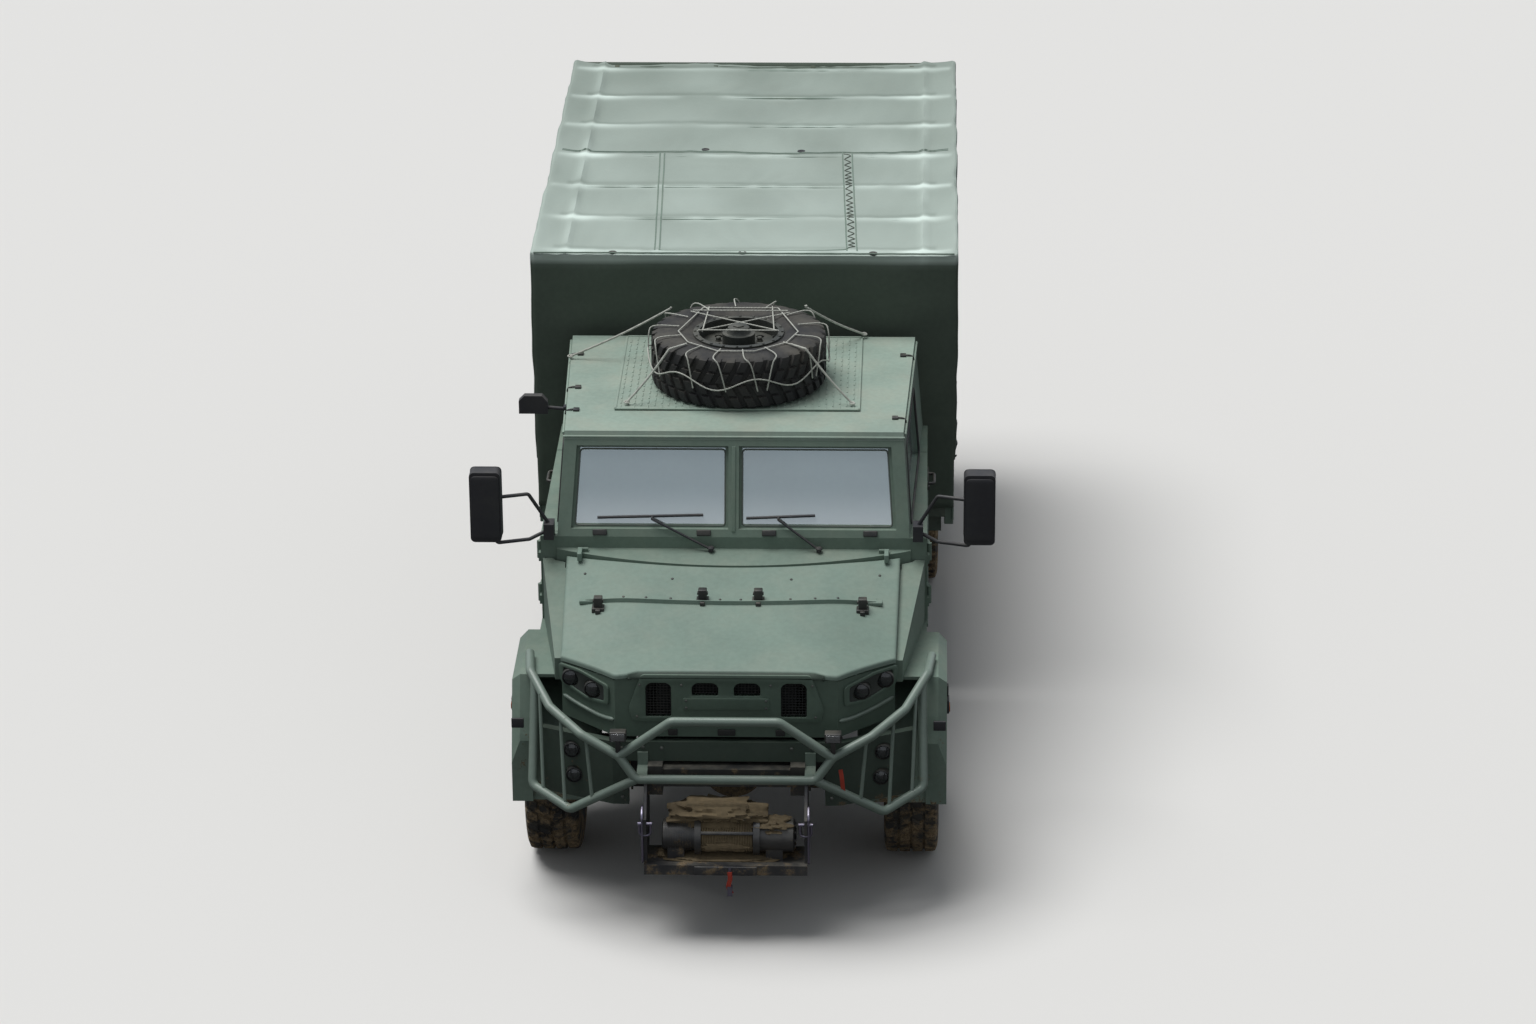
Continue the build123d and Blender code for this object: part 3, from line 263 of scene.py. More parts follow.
def block(lo, hi, r=0.003, n=2):
    """Box with rounded edges: points on the faces are pulled to distance r from an inner box."""
    lo, hi = np.minimum(lo, hi).astype(float), np.maximum(lo, hi).astype(float)
    r = min(r, float((hi - lo).min()) * 0.45)
    offs = r * (1 - np.tan(np.linspace(np.pi / 4, 0, n + 1)))
    lines = [np.concatenate([lo[i] + offs, hi[i] - offs[::-1]]) for i in range(3)]
    shapes = []
    for k in range(3):
        i, j = (k + 1) % 3, (k + 2) % 3
        for end, level in ((0, lo[k]), (1, hi[k])):
            u, v = np.meshgrid(lines[i], lines[j], indexing="ij")
            face = np.zeros(u.shape + (3,))
            face[..., i], face[..., j], face[..., k] = u, v, level
            core = np.clip(face, lo + r, hi - r)
            out = face - core
            face = core + r * out / np.linalg.norm(out, axis=-1, keepdims=True)
            shape = sheet_shape(face)
            shapes.append(inside_out(shape) if end else shape)
    return join(*shapes)


def plate(loops, thick, bevel=0.0, by=(0, 0, 0), turn=None):
    """A flat plate from an outer loop and holes, filled as a 2D curve, then turned into a mesh."""
    data = bpy.data.curves.new("plate", "CURVE")
    data.dimensions, data.fill_mode = "2D", "BOTH"
    data.extrude, data.bevel_depth, data.bevel_resolution = thick / 2 - bevel, bevel, 1
    for loop in loops:
        loop = np.asarray(loop, float)
        spline = data.splines.new("POLY")
        spline.points.add(len(loop) - 1)
        flat = np.concatenate([loop, np.zeros((len(loop), 1)), np.ones((len(loop), 1))], 1)
        spline.points.foreach_set("co", flat.ravel())
        spline.use_cyclic_u = True
    holder = bpy.data.objects.new("plate", data)
    mesh = bpy.data.meshes.new_from_object(holder)
    points = read_mesh(mesh)
    faces = [list(face.vertices) for face in mesh.polygons]
    bpy.data.meshes.remove(mesh)
    bpy.data.objects.remove(holder)
    bpy.data.curves.remove(data)
    return moved((points, faces), by, turn)


def rounded(points, radius, steps=4):
    """A closed 2D outline with rounded corners."""
    return bent(points, radius, steps, closed=True)


def rect(x0, x1, y0, y1, radius=0.01):
    return rounded([(x0, y0), (x1, y0), (x1, y1), (x0, y1)], radius)


def bolts(places, normal, radius=0.008, height=0.006, sides=6):
    """Bolt heads: a short six-sided dome at each place."""
    profile = [(0, radius * 1.25), (height * 0.25, radius * 1.25), (height * 0.25, radius),
               (height * 0.8, radius), (height, radius * 0.72), (height, 0)]
    return join(*[revolve(profile, sides, at, normal) for at in places])


def waves(x, y, seed, scale, count=9):
    """Sum of sine waves in random directions, about -1 to 1."""
    rng = np.random.default_rng(seed)
    total = 0
    for _ in range(count):
        angle, phase, size = rng.uniform(0, 2 * np.pi), rng.uniform(0, 6.28), rng.uniform(0.6, 1.7)
        total = total + np.sin((x * math.cos(angle) + y * math.sin(angle)) * 6.28 * size / scale + phase)
    return total / math.sqrt(count)


def add_piece(name, shape, material, body="truck", replaces=(), closed=True, solid=0.0):
    """Makes one object at the origin from a shape or a list of them, its seams merged and its faces
    outward. An open sheet (closed false) keeps the way its faces point, and solid gives it a wall
    behind them."""
    points, faces = join(*shape) if isinstance(shape, list) else shape
    points = np.asarray(points, float) + np.array([0, AXLE_Y, 0])
    mesh = bpy.data.meshes.new(name)
    mesh.from_pydata(points.tolist(), [], faces)
    work = bmesh.new()
    work.from_mesh(mesh)
    bmesh.ops.remove_doubles(work, verts=work.verts, dist=2e-5)
    if closed:
        bmesh.ops.recalc_face_normals(work, faces=work.faces)
    work.to_mesh(mesh)
    work.free()
    mesh.polygons.foreach_set("use_smooth", np.ones(len(mesh.polygons), bool))
    piece = bpy.data.objects.new(name, mesh)
    bpy.context.scene.collection.objects.link(piece)
    mesh.set_sharp_from_angle(angle=SHARP)
    mesh.materials.append(finish(material))
    if solid:
        wall = piece.modifiers.new("thickness", "SOLIDIFY")
        wall.thickness, wall.offset = solid, -1
    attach(piece, body)
    if replaces:
        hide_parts(*replaces)
    return piece


# ---- Finishes


def linear(r, g, b):
    """A colour seen in the photograph, 0 to 255, as the shader needs it."""
    c = np.array([r, g, b]) / 255.0
    return tuple(np.where(c <= 0.04045, c / 12.92, ((c + 0.055) / 1.055) ** 2.4).tolist()) + (1.0,)


class Web:
    """Adds nodes to one tree and wires them: an input is a number, a colour or another socket."""

    def __init__(self, tree):
        self.tree = tree

    def put(self, node, inputs):
        for key, value in inputs.items():
            if isinstance(value, bpy.types.NodeSocket):
                self.tree.links.new(value, node.inputs[key])
            else:
                node.inputs[key].default_value = value
        return node

    def add(self, kind, inputs=(), **settings):
        node = self.tree.nodes.new("ShaderNode" + kind)
        for key, value in settings.items():
            setattr(node, key, value)
        return self.put(node, dict(inputs))

    def place(self):
        """The point's place on the piece, in metres of the truck's own frame."""
        return self.add("TexCoord").outputs["Object"]

    def height(self):
        return self.add("SeparateXYZ", {0: self.place()}).outputs["Z"]

    def times(self, a, b, clamp=False):
        return self.add("Math", {0: a, 1: b}, operation="MULTIPLY", use_clamp=clamp).outputs[0]

    def plus(self, a, b, clamp=False):
        return self.add("Math", {0: a, 1: b}, operation="ADD", use_clamp=clamp).outputs[0]

    def span(self, value, low, high, out_low=0.0, out_high=1.0):
        """A smooth step from one value at low to another at high."""
        inputs = {"Value": value, "From Min": low, "From Max": high, "To Min": out_low, "To Max": out_high}
        return self.add("MapRange", inputs, interpolation_type="SMOOTHSTEP").outputs[0]

    def noise(self, scale, detail=4.0, rough=0.55):
        inputs = {"Vector": self.place(), "Scale": scale, "Detail": detail, "Roughness": rough}
        return self.add("TexNoise", inputs).outputs["Fac"]

    def mix(self, factor, a, b):
        return self.add("Mix", {0: factor, 6: a, 7: b}, data_type="RGBA").outputs[2]


def group(name, inputs, outputs, build):
    """A shader node group. Inputs and outputs are named; a colour's default has four numbers."""
    found = bpy.data.node_groups.get(name)
    if found:
        return found
    tree = bpy.data.node_groups.new(name, "ShaderNodeTree")
    for label, default in inputs.items():
        kind = "NodeSocketColor" if isinstance(default, tuple) else "NodeSocketFloat"
        tree.interface.new_socket(label, in_out="INPUT", socket_type=kind).default_value = default
    for label in outputs:
        kind = "NodeSocketColor" if label == "Colour" else "NodeSocketFloat"
        tree.interface.new_socket(label, in_out="OUTPUT", socket_type=kind)
    web = Web(tree)
    start, end = tree.nodes.new("NodeGroupInput"), tree.nodes.new("NodeGroupOutput")
    for label, socket in build(web, start.outputs).items():
        tree.links.new(socket, end.inputs[label])
    return tree


GREY = (0.5, 0.5, 0.5, 1.0)


def uneven_group():
    """Colour that drifts: broad fading and fine mottling, each a noise on the piece's own place."""
    def build(web, given):
        broad = web.span(web.noise(2.3), 0.3, 0.7, -1.0, 1.0)
        fine = web.span(web.noise(38.0, 3.0), 0.3, 0.7, -1.0, 1.0)
        change = web.times(web.plus(web.times(broad, 0.6), web.times(fine, 0.4)), given["Amount"])
        shifted = web.add("HueSaturation", {"Color": given["Colour"], "Value": web.plus(change, 1.0)})
        return {"Colour": shifted.outputs[0],
                "Roughness": web.plus(given["Roughness"], web.times(broad, 0.06))}
    return group("Uneven colour", {"Colour": GREY, "Roughness": 0.5, "Amount": 0.1}, ("Colour", "Roughness"),
                 build)


def dust_group():
    """Dust film: lies where the surface faces up, broken by noise, and dulls what it covers."""
    def build(web, given):
        up = web.add("SeparateXYZ", {0: web.add("NewGeometry").outputs["Normal"]}).outputs["Z"]
        patches = web.span(web.noise(5.0, 6.0, 0.65), 0.35, 0.75)
        mask = web.times(web.times(web.span(up, -0.2, 1.0, 0.25, 1.0), patches), given["Amount"], True)
        return {"Colour": web.mix(mask, given["Colour"], given["Dust"]),
                "Roughness": web.plus(given["Roughness"], web.times(mask, 0.25), True)}
    return group("Dust film", {"Colour": GREY, "Roughness": 0.5, "Dust": GREY, "Amount": 0.3},
                 ("Colour", "Roughness"), build)


def mud_group():
    """Sandy mud: full below one height, gone above another, its edge torn by two noises."""
    def build(web, given):
        part = web.add("MapRange",
                       {"Value": web.height(), "From Min": given["High"], "From Max": given["Low"]})
        lumps, grit = web.noise(11.0, 7.0, 0.68), web.noise(120.0, 3.0)
        torn = web.plus(web.times(lumps, 1.15), web.times(grit, 0.35))
        mask = web.span(web.plus(torn, web.times(part.outputs[0], given["Amount"])), 1.0, 1.16)
        shade = web.mix(web.span(grit, 0.3, 0.7), given["Mud"], linear(96, 82, 62))
        return {"Colour": web.mix(mask, given["Colour"], shade),
                "Roughness": web.mix(mask, given["Roughness"], (0.92, 0.92, 0.92, 1)),
                "Height": web.times(mask, web.plus(lumps, grit))}
    return group("Sandy mud",
                 {"Colour": GREY, "Roughness": 0.5, "Mud": GREY, "Low": 0.3, "High": 0.9, "Amount": 0.7},
                 ("Colour", "Roughness", "Height"), build)


def chip_group():
    """Stone chips: small cells that show the darker coat below, in broken zones."""
    def build(web, given):
        cells = web.add("TexVoronoi", {"Vector": web.place(), "Scale": 90.0}).outputs["Distance"]
        zones = web.span(web.noise(6.0, 5.0, 0.7), 0.52, 0.72)
        mask = web.times(web.times(web.span(cells, 0.2, 0.14), zones), given["Amount"], True)
        return {"Colour": web.mix(mask, given["Colour"], given["Below"]), "Mask": mask}
    return group("Stone chips", {"Colour": GREY, "Below": GREY, "Amount": 0.5}, ("Colour", "Mask"), build)


def grain_group():
    """Fine relief of sprayed paint, moulded plastic or cast metal: one noise on the place."""
    def build(web, given):
        return {"Height": web.noise(given["Scale"], 3.0, 0.5)}
    return group("Fine grain", {"Scale": 300.0}, ("Height",), build)


def weave_group():
    """Plain weave: the product of sines along each pair of axes, so that it needs no UV map."""
    def build(web, given):
        split = web.add("SeparateXYZ", {0: web.place()})
        s = [web.add("Math", {0: web.times(split.outputs[i], given["Threads"])}, operation="SINE").outputs[0]
             for i in range(3)]
        return {"Height": web.plus(web.times(s[0], s[1]),
                                   web.plus(web.times(s[1], s[2]), web.times(s[2], s[0])))}
    return group("Plain weave", {"Threads": 2000.0}, ("Height",), build)


def coat(colour, rough, uneven, dust, **more):
    """The facts of one finish, as FINISHES lists them."""
    return dict(more, colour=colour, rough=rough, uneven=uneven, dust=dust)


MUD = linear(158, 138, 108)
DUST = linear(176, 170, 154)
FINISHES = {
    # colour (0 to 255), rough, and the amounts of uneven and dust; shine, metal and glass on the shader;
    # mud (low, high, amount); chips (amount, coat below); grain (scale, depth) and weave (threads, depth);
    # worn (colour where the mesh's own mask is full: wear and painted light); film (high, low, colour, amount
    # at its low edge: a tint that is partly dust, partly painted reflection)
    "green_paint": coat((112, 130, 118), 0.56, 0.1, 0.16, shine=0.3, mud=(0.3, 1.15, 0.3),
                        chips=(0.3, (54, 60, 54)), grain=(420, 0.25)),
    # The green paint made lighter for the cab roof and its trim: painted light on top faces.
    "roof_paint_painted_light": coat((146, 164, 152), 0.58, 0.12, 0.3, shine=0.3, grain=(420, 0.25)),
    # The green paint set lighter than the sides and darker than the roof: painted light and shade on the
    # hood.
    "hood_paint_painted_light": coat((120, 139, 128), 0.52, 0.1, 0.12, shine=0.3, chips=(0.3, (54, 60, 54)),
                       grain=(420, 0.25)),
    # The green paint made darker for the nose, grille frame and lamp brows: painted shade on faces that look
    # forward.
    "nose_paint_painted_shade": coat((88, 106, 94), 0.5, 0.1, 0.08, shine=0.35, mud=(0.4, 1.15, 0.26),
                       chips=(0.5, (40, 46, 42)), grain=(420, 0.25)),
    # The green paint made darker still for the bumper and the grille brow: painted shade.
    "bumper_paint_painted_shade": coat((64, 77, 68), 0.5, 0.1, 0.06, shine=0.35, mud=(0.4, 1.15, 0.26),
                         chips=(0.5, (36, 42, 38)), grain=(420, 0.25)),
    "guard_paint": coat((114, 130, 120), 0.4, 0.08, 0.12, mud=(0.35, 1.0, 0.24), chips=(0.6, (40, 44, 42)),
                        grain=(500, 0.2)),
    "rim_paint": coat((84, 98, 86), 0.6, 0.12, 0.2, mud=(0.0, 0.95, 0.62), chips=(0.6, (50, 50, 48)),
                      grain=(400, 0.3)),
    "chassis_black": coat((36, 38, 37), 0.55, 0.15, 0.3, mud=(0.2, 1.05, 0.42), grain=(260, 0.5)),
    "winch_black": coat((46, 47, 50), 0.4, 0.1, 0.35, mud=(0.28, 0.66, 0.34), grain=(300, 0.3)),
    "cast_iron": coat((52, 52, 50), 0.7, 0.2, 0.3, mud=(0.2, 0.9, 0.5), grain=(180, 0.8)),
    "zinc_steel": coat((120, 116, 132), 0.35, 0.15, 0.15, metal=0.85, grain=(300, 0.2)),
    "black_steel": coat((26, 27, 27), 0.45, 0.1, 0.2, grain=(300, 0.3)),
    "black_plastic": coat((32, 32, 36), 0.55, 0.1, 0.12, grain=(700, 0.4)),
    # Dark plate round the headlamps: partly its own dark colour, partly painted shade of a recess.
    "housing_and_painted_shade": coat((30, 37, 33), 0.7, 0.15, 0.15, grain=(300, 0.4)),
    "grille_black": coat((16, 18, 17), 0.7, 0.15, 0.1, grain=(300, 0.4)),
    "tyre_rubber": coat((36, 36, 35), 0.82, 0.2, 0.35, mud=(0.0, 1.3, 0.42), grain=(160, 0.8)),
    "spare_rubber": coat((24, 24, 25), 0.78, 0.25, 0.16, grain=(160, 0.8)),
    "seal_rubber": coat((22, 22, 23), 0.6, 0.1, 0.15, grain=(500, 0.3)),
    "grey_seal": coat((84, 94, 88), 0.55, 0.08, 0.2, grain=(500, 0.3)),
    "flap_rubber": coat((34, 34, 33), 0.8, 0.15, 0.2, mud=(0.3, 1.1, 0.6), grain=(200, 0.6)),
    # Dark base where the mask is empty (sides, front, curtain) and pale where it is full on the roof: partly
    # bleaching, partly painted light and shade.
    "canvas": coat((88, 99, 89), 0.8, 0.09, 0.03, shine=0.2, worn=(226, 241, 233), weave=(1500, 0.25),
                   grain=(60, 0.8)),
    "canvas_seam": coat((112, 130, 119), 0.8, 0.12, 0.1, weave=(1500, 0.3), grain=(60, 0.6)),
    "rope": coat((188, 190, 182), 0.9, 0.2, 0.2, weave=(3400, 0.2)),
    "grey_cord": coat((92, 100, 92), 0.85, 0.1, 0.2, weave=(3400, 0.2)),
    "black_cord": coat((34, 35, 34), 0.85, 0.1, 0.2, weave=(3400, 0.2)),
    "red_webbing": coat((178, 62, 44), 0.85, 0.12, 0.15, weave=(2600, 0.3)),
    "green_webbing": coat((70, 80, 66), 0.9, 0.12, 0.2, weave=(2600, 0.3)),
    "seat_cloth": coat((52, 57, 52), 0.9, 0.14, 0.15, weave=(2200, 0.35), grain=(90, 0.4)),
    "dash_plastic": coat((40, 42, 41), 0.62, 0.08, 0.3, grain=(650, 0.5)),
    "wheel_plastic": coat((28, 28, 29), 0.48, 0.08, 0.1, grain=(800, 0.4)),
    "dark_wheel": coat((46, 50, 47), 0.6, 0.15, 0.2, grain=(400, 0.3)),
    "white_marks": coat((214, 214, 206), 0.5, 0.05, 0, grain=(500, 0.1)),
    "bare_plate": coat((190, 190, 184), 0.5, 0.06, 0.2, grain=(500, 0.1)),
    "mud_clods": coat((120, 106, 82), 0.95, 0.35, 0, grain=(55, 5.0)),
    "mirror_silver": coat((190, 196, 202), 0.04, 0.03, 0.06, metal=1.0),
    "bolt_steel": coat((92, 96, 92), 0.45, 0.15, 0.25, metal=0.6, grain=(300, 0.3)),
    "deck_steel": coat((86, 98, 88), 0.6, 0.2, 0.5, chips=(0.8, (110, 108, 104)), grain=(220, 0.6)),
    "deck_wood": coat((86, 82, 70), 0.78, 0.25, 0.45, grain=(220, 0.6)),
    # Its film makes the panes lighter towards their lower edge: partly dust, partly painted reflection.
    "window_glass": coat((178, 190, 192), 0.07, 0.03, 0.06, metal=0.5, glass=0.42,
                         film=(1.8, 1.58, (228, 234, 234), 0.62)),
    "lamp_glass": coat((225, 228, 230), 0.05, 0.03, 0, glass=0.85),
    # This lens and the bowl below are darker than clear glass and bare chrome: painted shade inside the
    # headlamps.
    "dark_lens_painted_shade": coat((96, 100, 102), 0.08, 0.03, 0.08, glass=0.7),
    "lamp_bowl_painted_shade": coat((78, 82, 84), 0.25, 0.05, 0, metal=0.9),
    "red_lens": coat((150, 22, 16), 0.12, 0.08, 0.1, glass=0.3),
    "amber_lens": coat((208, 110, 20), 0.12, 0.08, 0.1, glass=0.3),
}


def finish(name):
    """The material of that name: layered groups that end in one Principled shader."""
    made = bpy.data.materials.get("finish_" + name)
    if made:
        return made
    facts = FINISHES[name]
    made = bpy.data.materials.new("finish_" + name)
    made.use_nodes = True
    web = Web(made.node_tree)
    shader = made.node_tree.nodes["Principled BSDF"]
    web.put(shader, {"Metallic": facts.get("metal", 0.0), "Transmission Weight": facts.get("glass", 0.0),
                     "Specular IOR Level": facts.get("shine", 0.5)})

    def layer(tree, **inputs):
        return web.put(web.add("Group", node_tree=tree), inputs).outputs

    heights = []
    base = layer(uneven_group(), Colour=linear(*facts["colour"]), Roughness=facts["rough"],
                 Amount=facts["uneven"])
    colour, rough = base["Colour"], base["Roughness"]
    # A second colour where the mesh's mask is full: on the canvas, bleaching mixed with painted highlights
    # and shade.
    if "worn" in facts:
        mask = web.add("Attribute", attribute_name="worn").outputs["Fac"]
        colour = web.mix(mask, colour, linear(*facts["worn"]))
    # A lighter tint towards the lower edge of the glass: partly dust, partly painted reflection.
    if "film" in facts:
        high, low, dust_and_reflection_tint, amount = facts["film"]
        colour = web.mix(web.span(web.height(), low, high, amount, 0.0), colour, linear(*dust_and_reflection_tint))
    if "chips" in facts:
        amount, below = facts["chips"]
        chips = layer(chip_group(), Colour=colour, Below=linear(*below), Amount=amount)
        colour = chips["Colour"]
        heights.append((chips["Mask"], -0.3))
    if facts["dust"]:
        film = layer(dust_group(), Colour=colour, Roughness=rough, Dust=DUST, Amount=facts["dust"])
        colour, rough = film["Colour"], film["Roughness"]
    if "mud" in facts:
        low, high, amount = facts["mud"]
        mud = layer(mud_group(), Colour=colour, Roughness=rough, Mud=MUD, Low=low, High=high, Amount=amount)
        colour, rough = mud["Colour"], mud["Roughness"]
        heights.append((mud["Height"], 2.0))
    if "grain" in facts:
        scale, depth = facts["grain"]
        heights.append((layer(grain_group(), Scale=float(scale))["Height"], depth))
    if "weave" in facts:
        threads, depth = facts["weave"]
        heights.append((layer(weave_group(), Threads=float(threads))["Height"], depth))
    web.put(shader, {"Base Color": colour, "Roughness": rough})
    total = None
    for socket, depth in heights:
        part = web.times(socket, depth)
        total = part if total is None else web.plus(total, part)
    if total is not None:
        bump = web.add("Bump", {"Height": total, "Strength": 0.5, "Distance": 0.001})
        web.put(shader, {"Normal": bump.outputs[0]})
    return made


CAD_FINISHES = {
    # finish: CAD nodes
    "green_paint": "hood cowl fenders door_left door_right cab_sides cab_rear_wall windscreen_frame "
                   "side_boards tailgate bow_posts bow_beams",
    "roof_paint_painted_light": "cab_roof",
    "nose_paint_painted_shade": "nose_panel",
    "bumper_paint_painted_shade": "front_bumper",
    "guard_paint": "brush_guard",
    "rim_paint": "rim_front_left rim_front_right rim_rear_left rim_rear_right",
    "dark_wheel": "spare_rim",
    "chassis_black": "ladder_frame suspension rear_underrun exhaust fuel_tank battery_box propeller_shafts",
    "cast_iron": "front_axle rear_axle knuckle_left knuckle_right engine transmission tow_hitch",
    "winch_black": "winch winch_mount",
    "zinc_steel": "shackles",
    "grille_black": "radiator",
    "deck_steel": "load_bed cab_floor",
    "black_plastic": "mirrors wipers",
    "dash_plastic": "dashboard",
    "wheel_plastic": "steering_wheel",
    "flap_rubber": "mud_flaps",
    "window_glass": "windscreen_glass door_glass_left door_glass_right",
}


def paint_frame():
    for name, nodes in CAD_FINISHES.items():
        for node in nodes.split():
            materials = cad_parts[node].data.materials
            materials.clear()
            materials.append(finish(name))


# ---- Wheels


def tyre_shape(sizes):
    """Tyre about X: a profile of (across, radius) carried round, with raised blocks where a repeating
    step of the angle, skewed towards the middle like an arrow, is within a block."""
    lugs, depth = sizes.lugs, sizes.tread_depth
    # across, radius, block height share, skew of the pattern in pitches; the other half is
    # the same turned round, with its blocks half a pitch on
    half = np.array([
        (-0.108, 0.212, 0, 0.9), (-0.114, 0.222, 0, 0.9), (-0.113, 0.236, 0, 0.9), (-0.121, 0.252, 0, 0.9),
        (-0.13, 0.285, 0, 0.9), (-0.1345, 0.322, 0, 0.9), (-0.1335, 0.35, 0, 0.9),
        (-0.1325, 0.362, 0.12, 0.9),
        (-0.1315, 0.386, 0.18, 0.9), (-0.128, 0.406, 0.32, 0.88), (-0.119, 0.4195, 0.9, 0.84),
        (-0.104, 0.4225, 1, 0.76), (-0.078, 0.4235, 1, 0.58), (-0.07, 0.4235, 1, 0.53),
        (-0.066, 0.4235, 0.1, 0.5),
        (-0.058, 0.424, 0.1, 0.46), (-0.054, 0.424, 1, 0.42), (-0.03, 0.4245, 1, 0.24),
        (-0.008, 0.4245, 1, 0.06),
        (-0.004, 0.4245, 0, 0.03),
    ])
    rows = np.concatenate([half, half[::-1] * (-1, 1, 1, 1) + (0, 0, 0, 0.5)])
    step = np.array([0.0, 0.05, 0.24, 0.42, 0.6, 0.65, 0.83])
    high = np.array([0.0, 1.0, 0.93, 1.0, 1.0, 0.0, 0.0])
    turn = (np.arange(lugs)[:, None] + step).ravel()
    raised = np.tile(high, lugs)
    across, radius, share, skew = rows.T
    angle = 2 * np.pi * (turn[None] + skew[:, None]) / lugs
    r = radius[:, None] + depth * share[:, None] * raised[None]
    points = xyz(across[:, None], r * np.cos(angle), r * np.sin(angle))
    inner = points[[-1, 0]].copy()
    inner[:, :, 1:] *= 0.2105 / 0.212
    return sheet_shape(np.concatenate([points, inner[:1], inner[1:]]), wrap_rows=True, wrap_cols=True)


def stand_up(side):
    """Wheel axes: its outer face towards the truck's side."""
    return np.diag([float(side), float(side), 1.0])


LYING = np.array([[0, 0, -1], [0, 1, 0], [1, 0, 0]], float)


def make_tyres(sizes):
    shape = tyre_shape(sizes)
    for name, centre, side, body in WHEELS:
        placed = moved(shape, centre, stand_up(side))
        add_piece("tread_tyre_" + name, placed, "tyre_rubber", body, ["tyre_" + name])
    placed = moved(shape, SPARE, LYING)
    add_piece("tread_tyre_spare", placed, "spare_rubber", "truck", ["spare_tyre"])


def wheel_trim_shape():
    """Hub nuts, cap, clamp ring bolts and valve on the outer face of a rim, about X."""
    nuts, clamp = xyz(0.057, *circle(8, 0.112, np.pi / 8)), xyz(0.123, *circle(20, 0.2195))
    cap = revolve([(0.117, 0.079), (0.119, 0.062), (0.124, 0.058), (0.146, 0.054), (0.152, 0.046),
                   (0.153, 0)],
                  28, axis=ACROSS)
    flats = revolve([(0.15, 0.03), (0.158, 0.03), (0.16, 0.026), (0.16, 0)], 6, axis=ACROSS)
    valve = tube([(0.058, 0.0, -0.178), (0.085, 0.0, -0.176), (0.1, 0.0, -0.172)], [0.006, 0.005, 0.004], 8)
    return join(bolts(nuts, ACROSS, 0.0145, 0.022), bolts(clamp, ACROSS, 0.0065, 0.006), cap, flats, valve)


def make_wheel_trim():
    shape = wheel_trim_shape()
    for name, centre, side, body in WHEELS:
        add_piece("wheel_nuts_" + name, moved(shape, centre, stand_up(side)), "bolt_steel", body)
    add_piece("wheel_nuts_spare", moved(shape, SPARE, LYING), "dark_wheel", "truck")


# ---- Spare wheel's net and the cab roof


def make_spare_net(sizes):
    """Rope net over the spare wheel, four stays to the roof and an X across the hub."""
    r, cy = sizes.rope, SPARE[1]
    z = SPARE[2] + TYRE_HALF + r + 0.001
    eight = [(0.3, -0.05), (0.245, -0.205), (0.09, -0.33), (-0.09, -0.33), (-0.245, -0.205), (-0.3, -0.05),
             (-0.19, 0.29), (0.19, 0.29)]
    ring = np.array([(x, cy + y, z) for x, y in eight])
    lines = [np.concatenate([ring, ring[:1]])]
    cross = [((-0.205, -0.05), (0.25, 0.225)), ((0.205, -0.05), (-0.25, 0.225)),
             ((-0.2, -0.055), (0.2, -0.055)),
             ((-0.18, -0.055), (-0.16, 0.3)), ((0.18, -0.055), (0.16, 0.3)), ((-0.24, 0.23), (0.24, 0.23))]
    for i, (a, b) in enumerate(cross):
        lift = 0.004 * (i % 3)
        lines.append([(a[0], cy + a[1], z + lift), (b[0], cy + b[1], z + lift)])
    # over the shoulder and down the tread: angle, angle of its lower end
    for a0, a1 in ((-160, -148), (-125, -118), (-105, -96), (-84, -76), (-62, -70), (-40, -34), (-18, -30),
                   (10, 2), (38, 30), (66, 72), (95, 88), (122, 128), (150, 144), (176, 182)):
        a, b = math.radians(a0), math.radians(a1)
        start = (0.3 * math.cos(a), cy + 0.31 * math.sin(a), z)
        edge = (0.425 * math.cos(a), cy + 0.425 * math.sin(a), z - 0.002)
        mid, out = (a + b) / 2, TYRE_R + 0.0115
        over = (out * math.cos(mid), cy + out * math.sin(mid), z - 0.035)
        down = ((TYRE_R + 0.0135) * math.cos(b), cy + (TYRE_R + 0.0135) * math.sin(b), z - 0.17)
        lines.append(curve([start, edge, over, down], 6))
    belt = np.radians(np.linspace(0, 360, 97))
    lines.append(xyz((TYRE_R + 0.016) * np.cos(belt), cy + (TYRE_R + 0.016) * np.sin(belt),
                     z - TYRE_HALF - 0.03 * np.cos(7 * belt)))
    add_piece("spare_net", join(*[rope(line, r * 0.62, 0.026) for line in lines]), "rope")
    stays = [((-0.356, 1.349, z), (-0.872, 1.36, 2.064)), ((0.333, 1.385, z), (0.622, 1.68, 2.072)),
             ((-0.25, 0.83, z), (-0.545, 0.7, 2.072)), ((0.27, 0.83, z), (0.575, 0.7, 2.072))]
    parts = []
    for start, end in stays:
        a, b = np.array(start), np.array(end)
        t = np.linspace(0, 1, 12)[:, None]
        sag = np.array([0, 0, -0.012]) * np.sin(np.pi * t)
        hub = np.array([SPARE[0], cy, start[2]])
        reach = np.linalg.norm((a - hub)[:2])
        edge = hub + (a - hub) * (TYRE_R + 0.012) / reach
        line = np.concatenate([[a], edge[None], edge + (b - edge) * t[1:] + sag[1:]])
        parts.append(rope(line, r, 0.032))
        parts.append(rope(curve([b + (0.012, 0, 0), b + (0, 0.012, 0.004), b + (-0.012, 0, 0.002),
                                 b + (0, -0.012, 0)],
                                6, True), r * 0.8, 0.03))
    add_piece("spare_stays", parts, "rope")


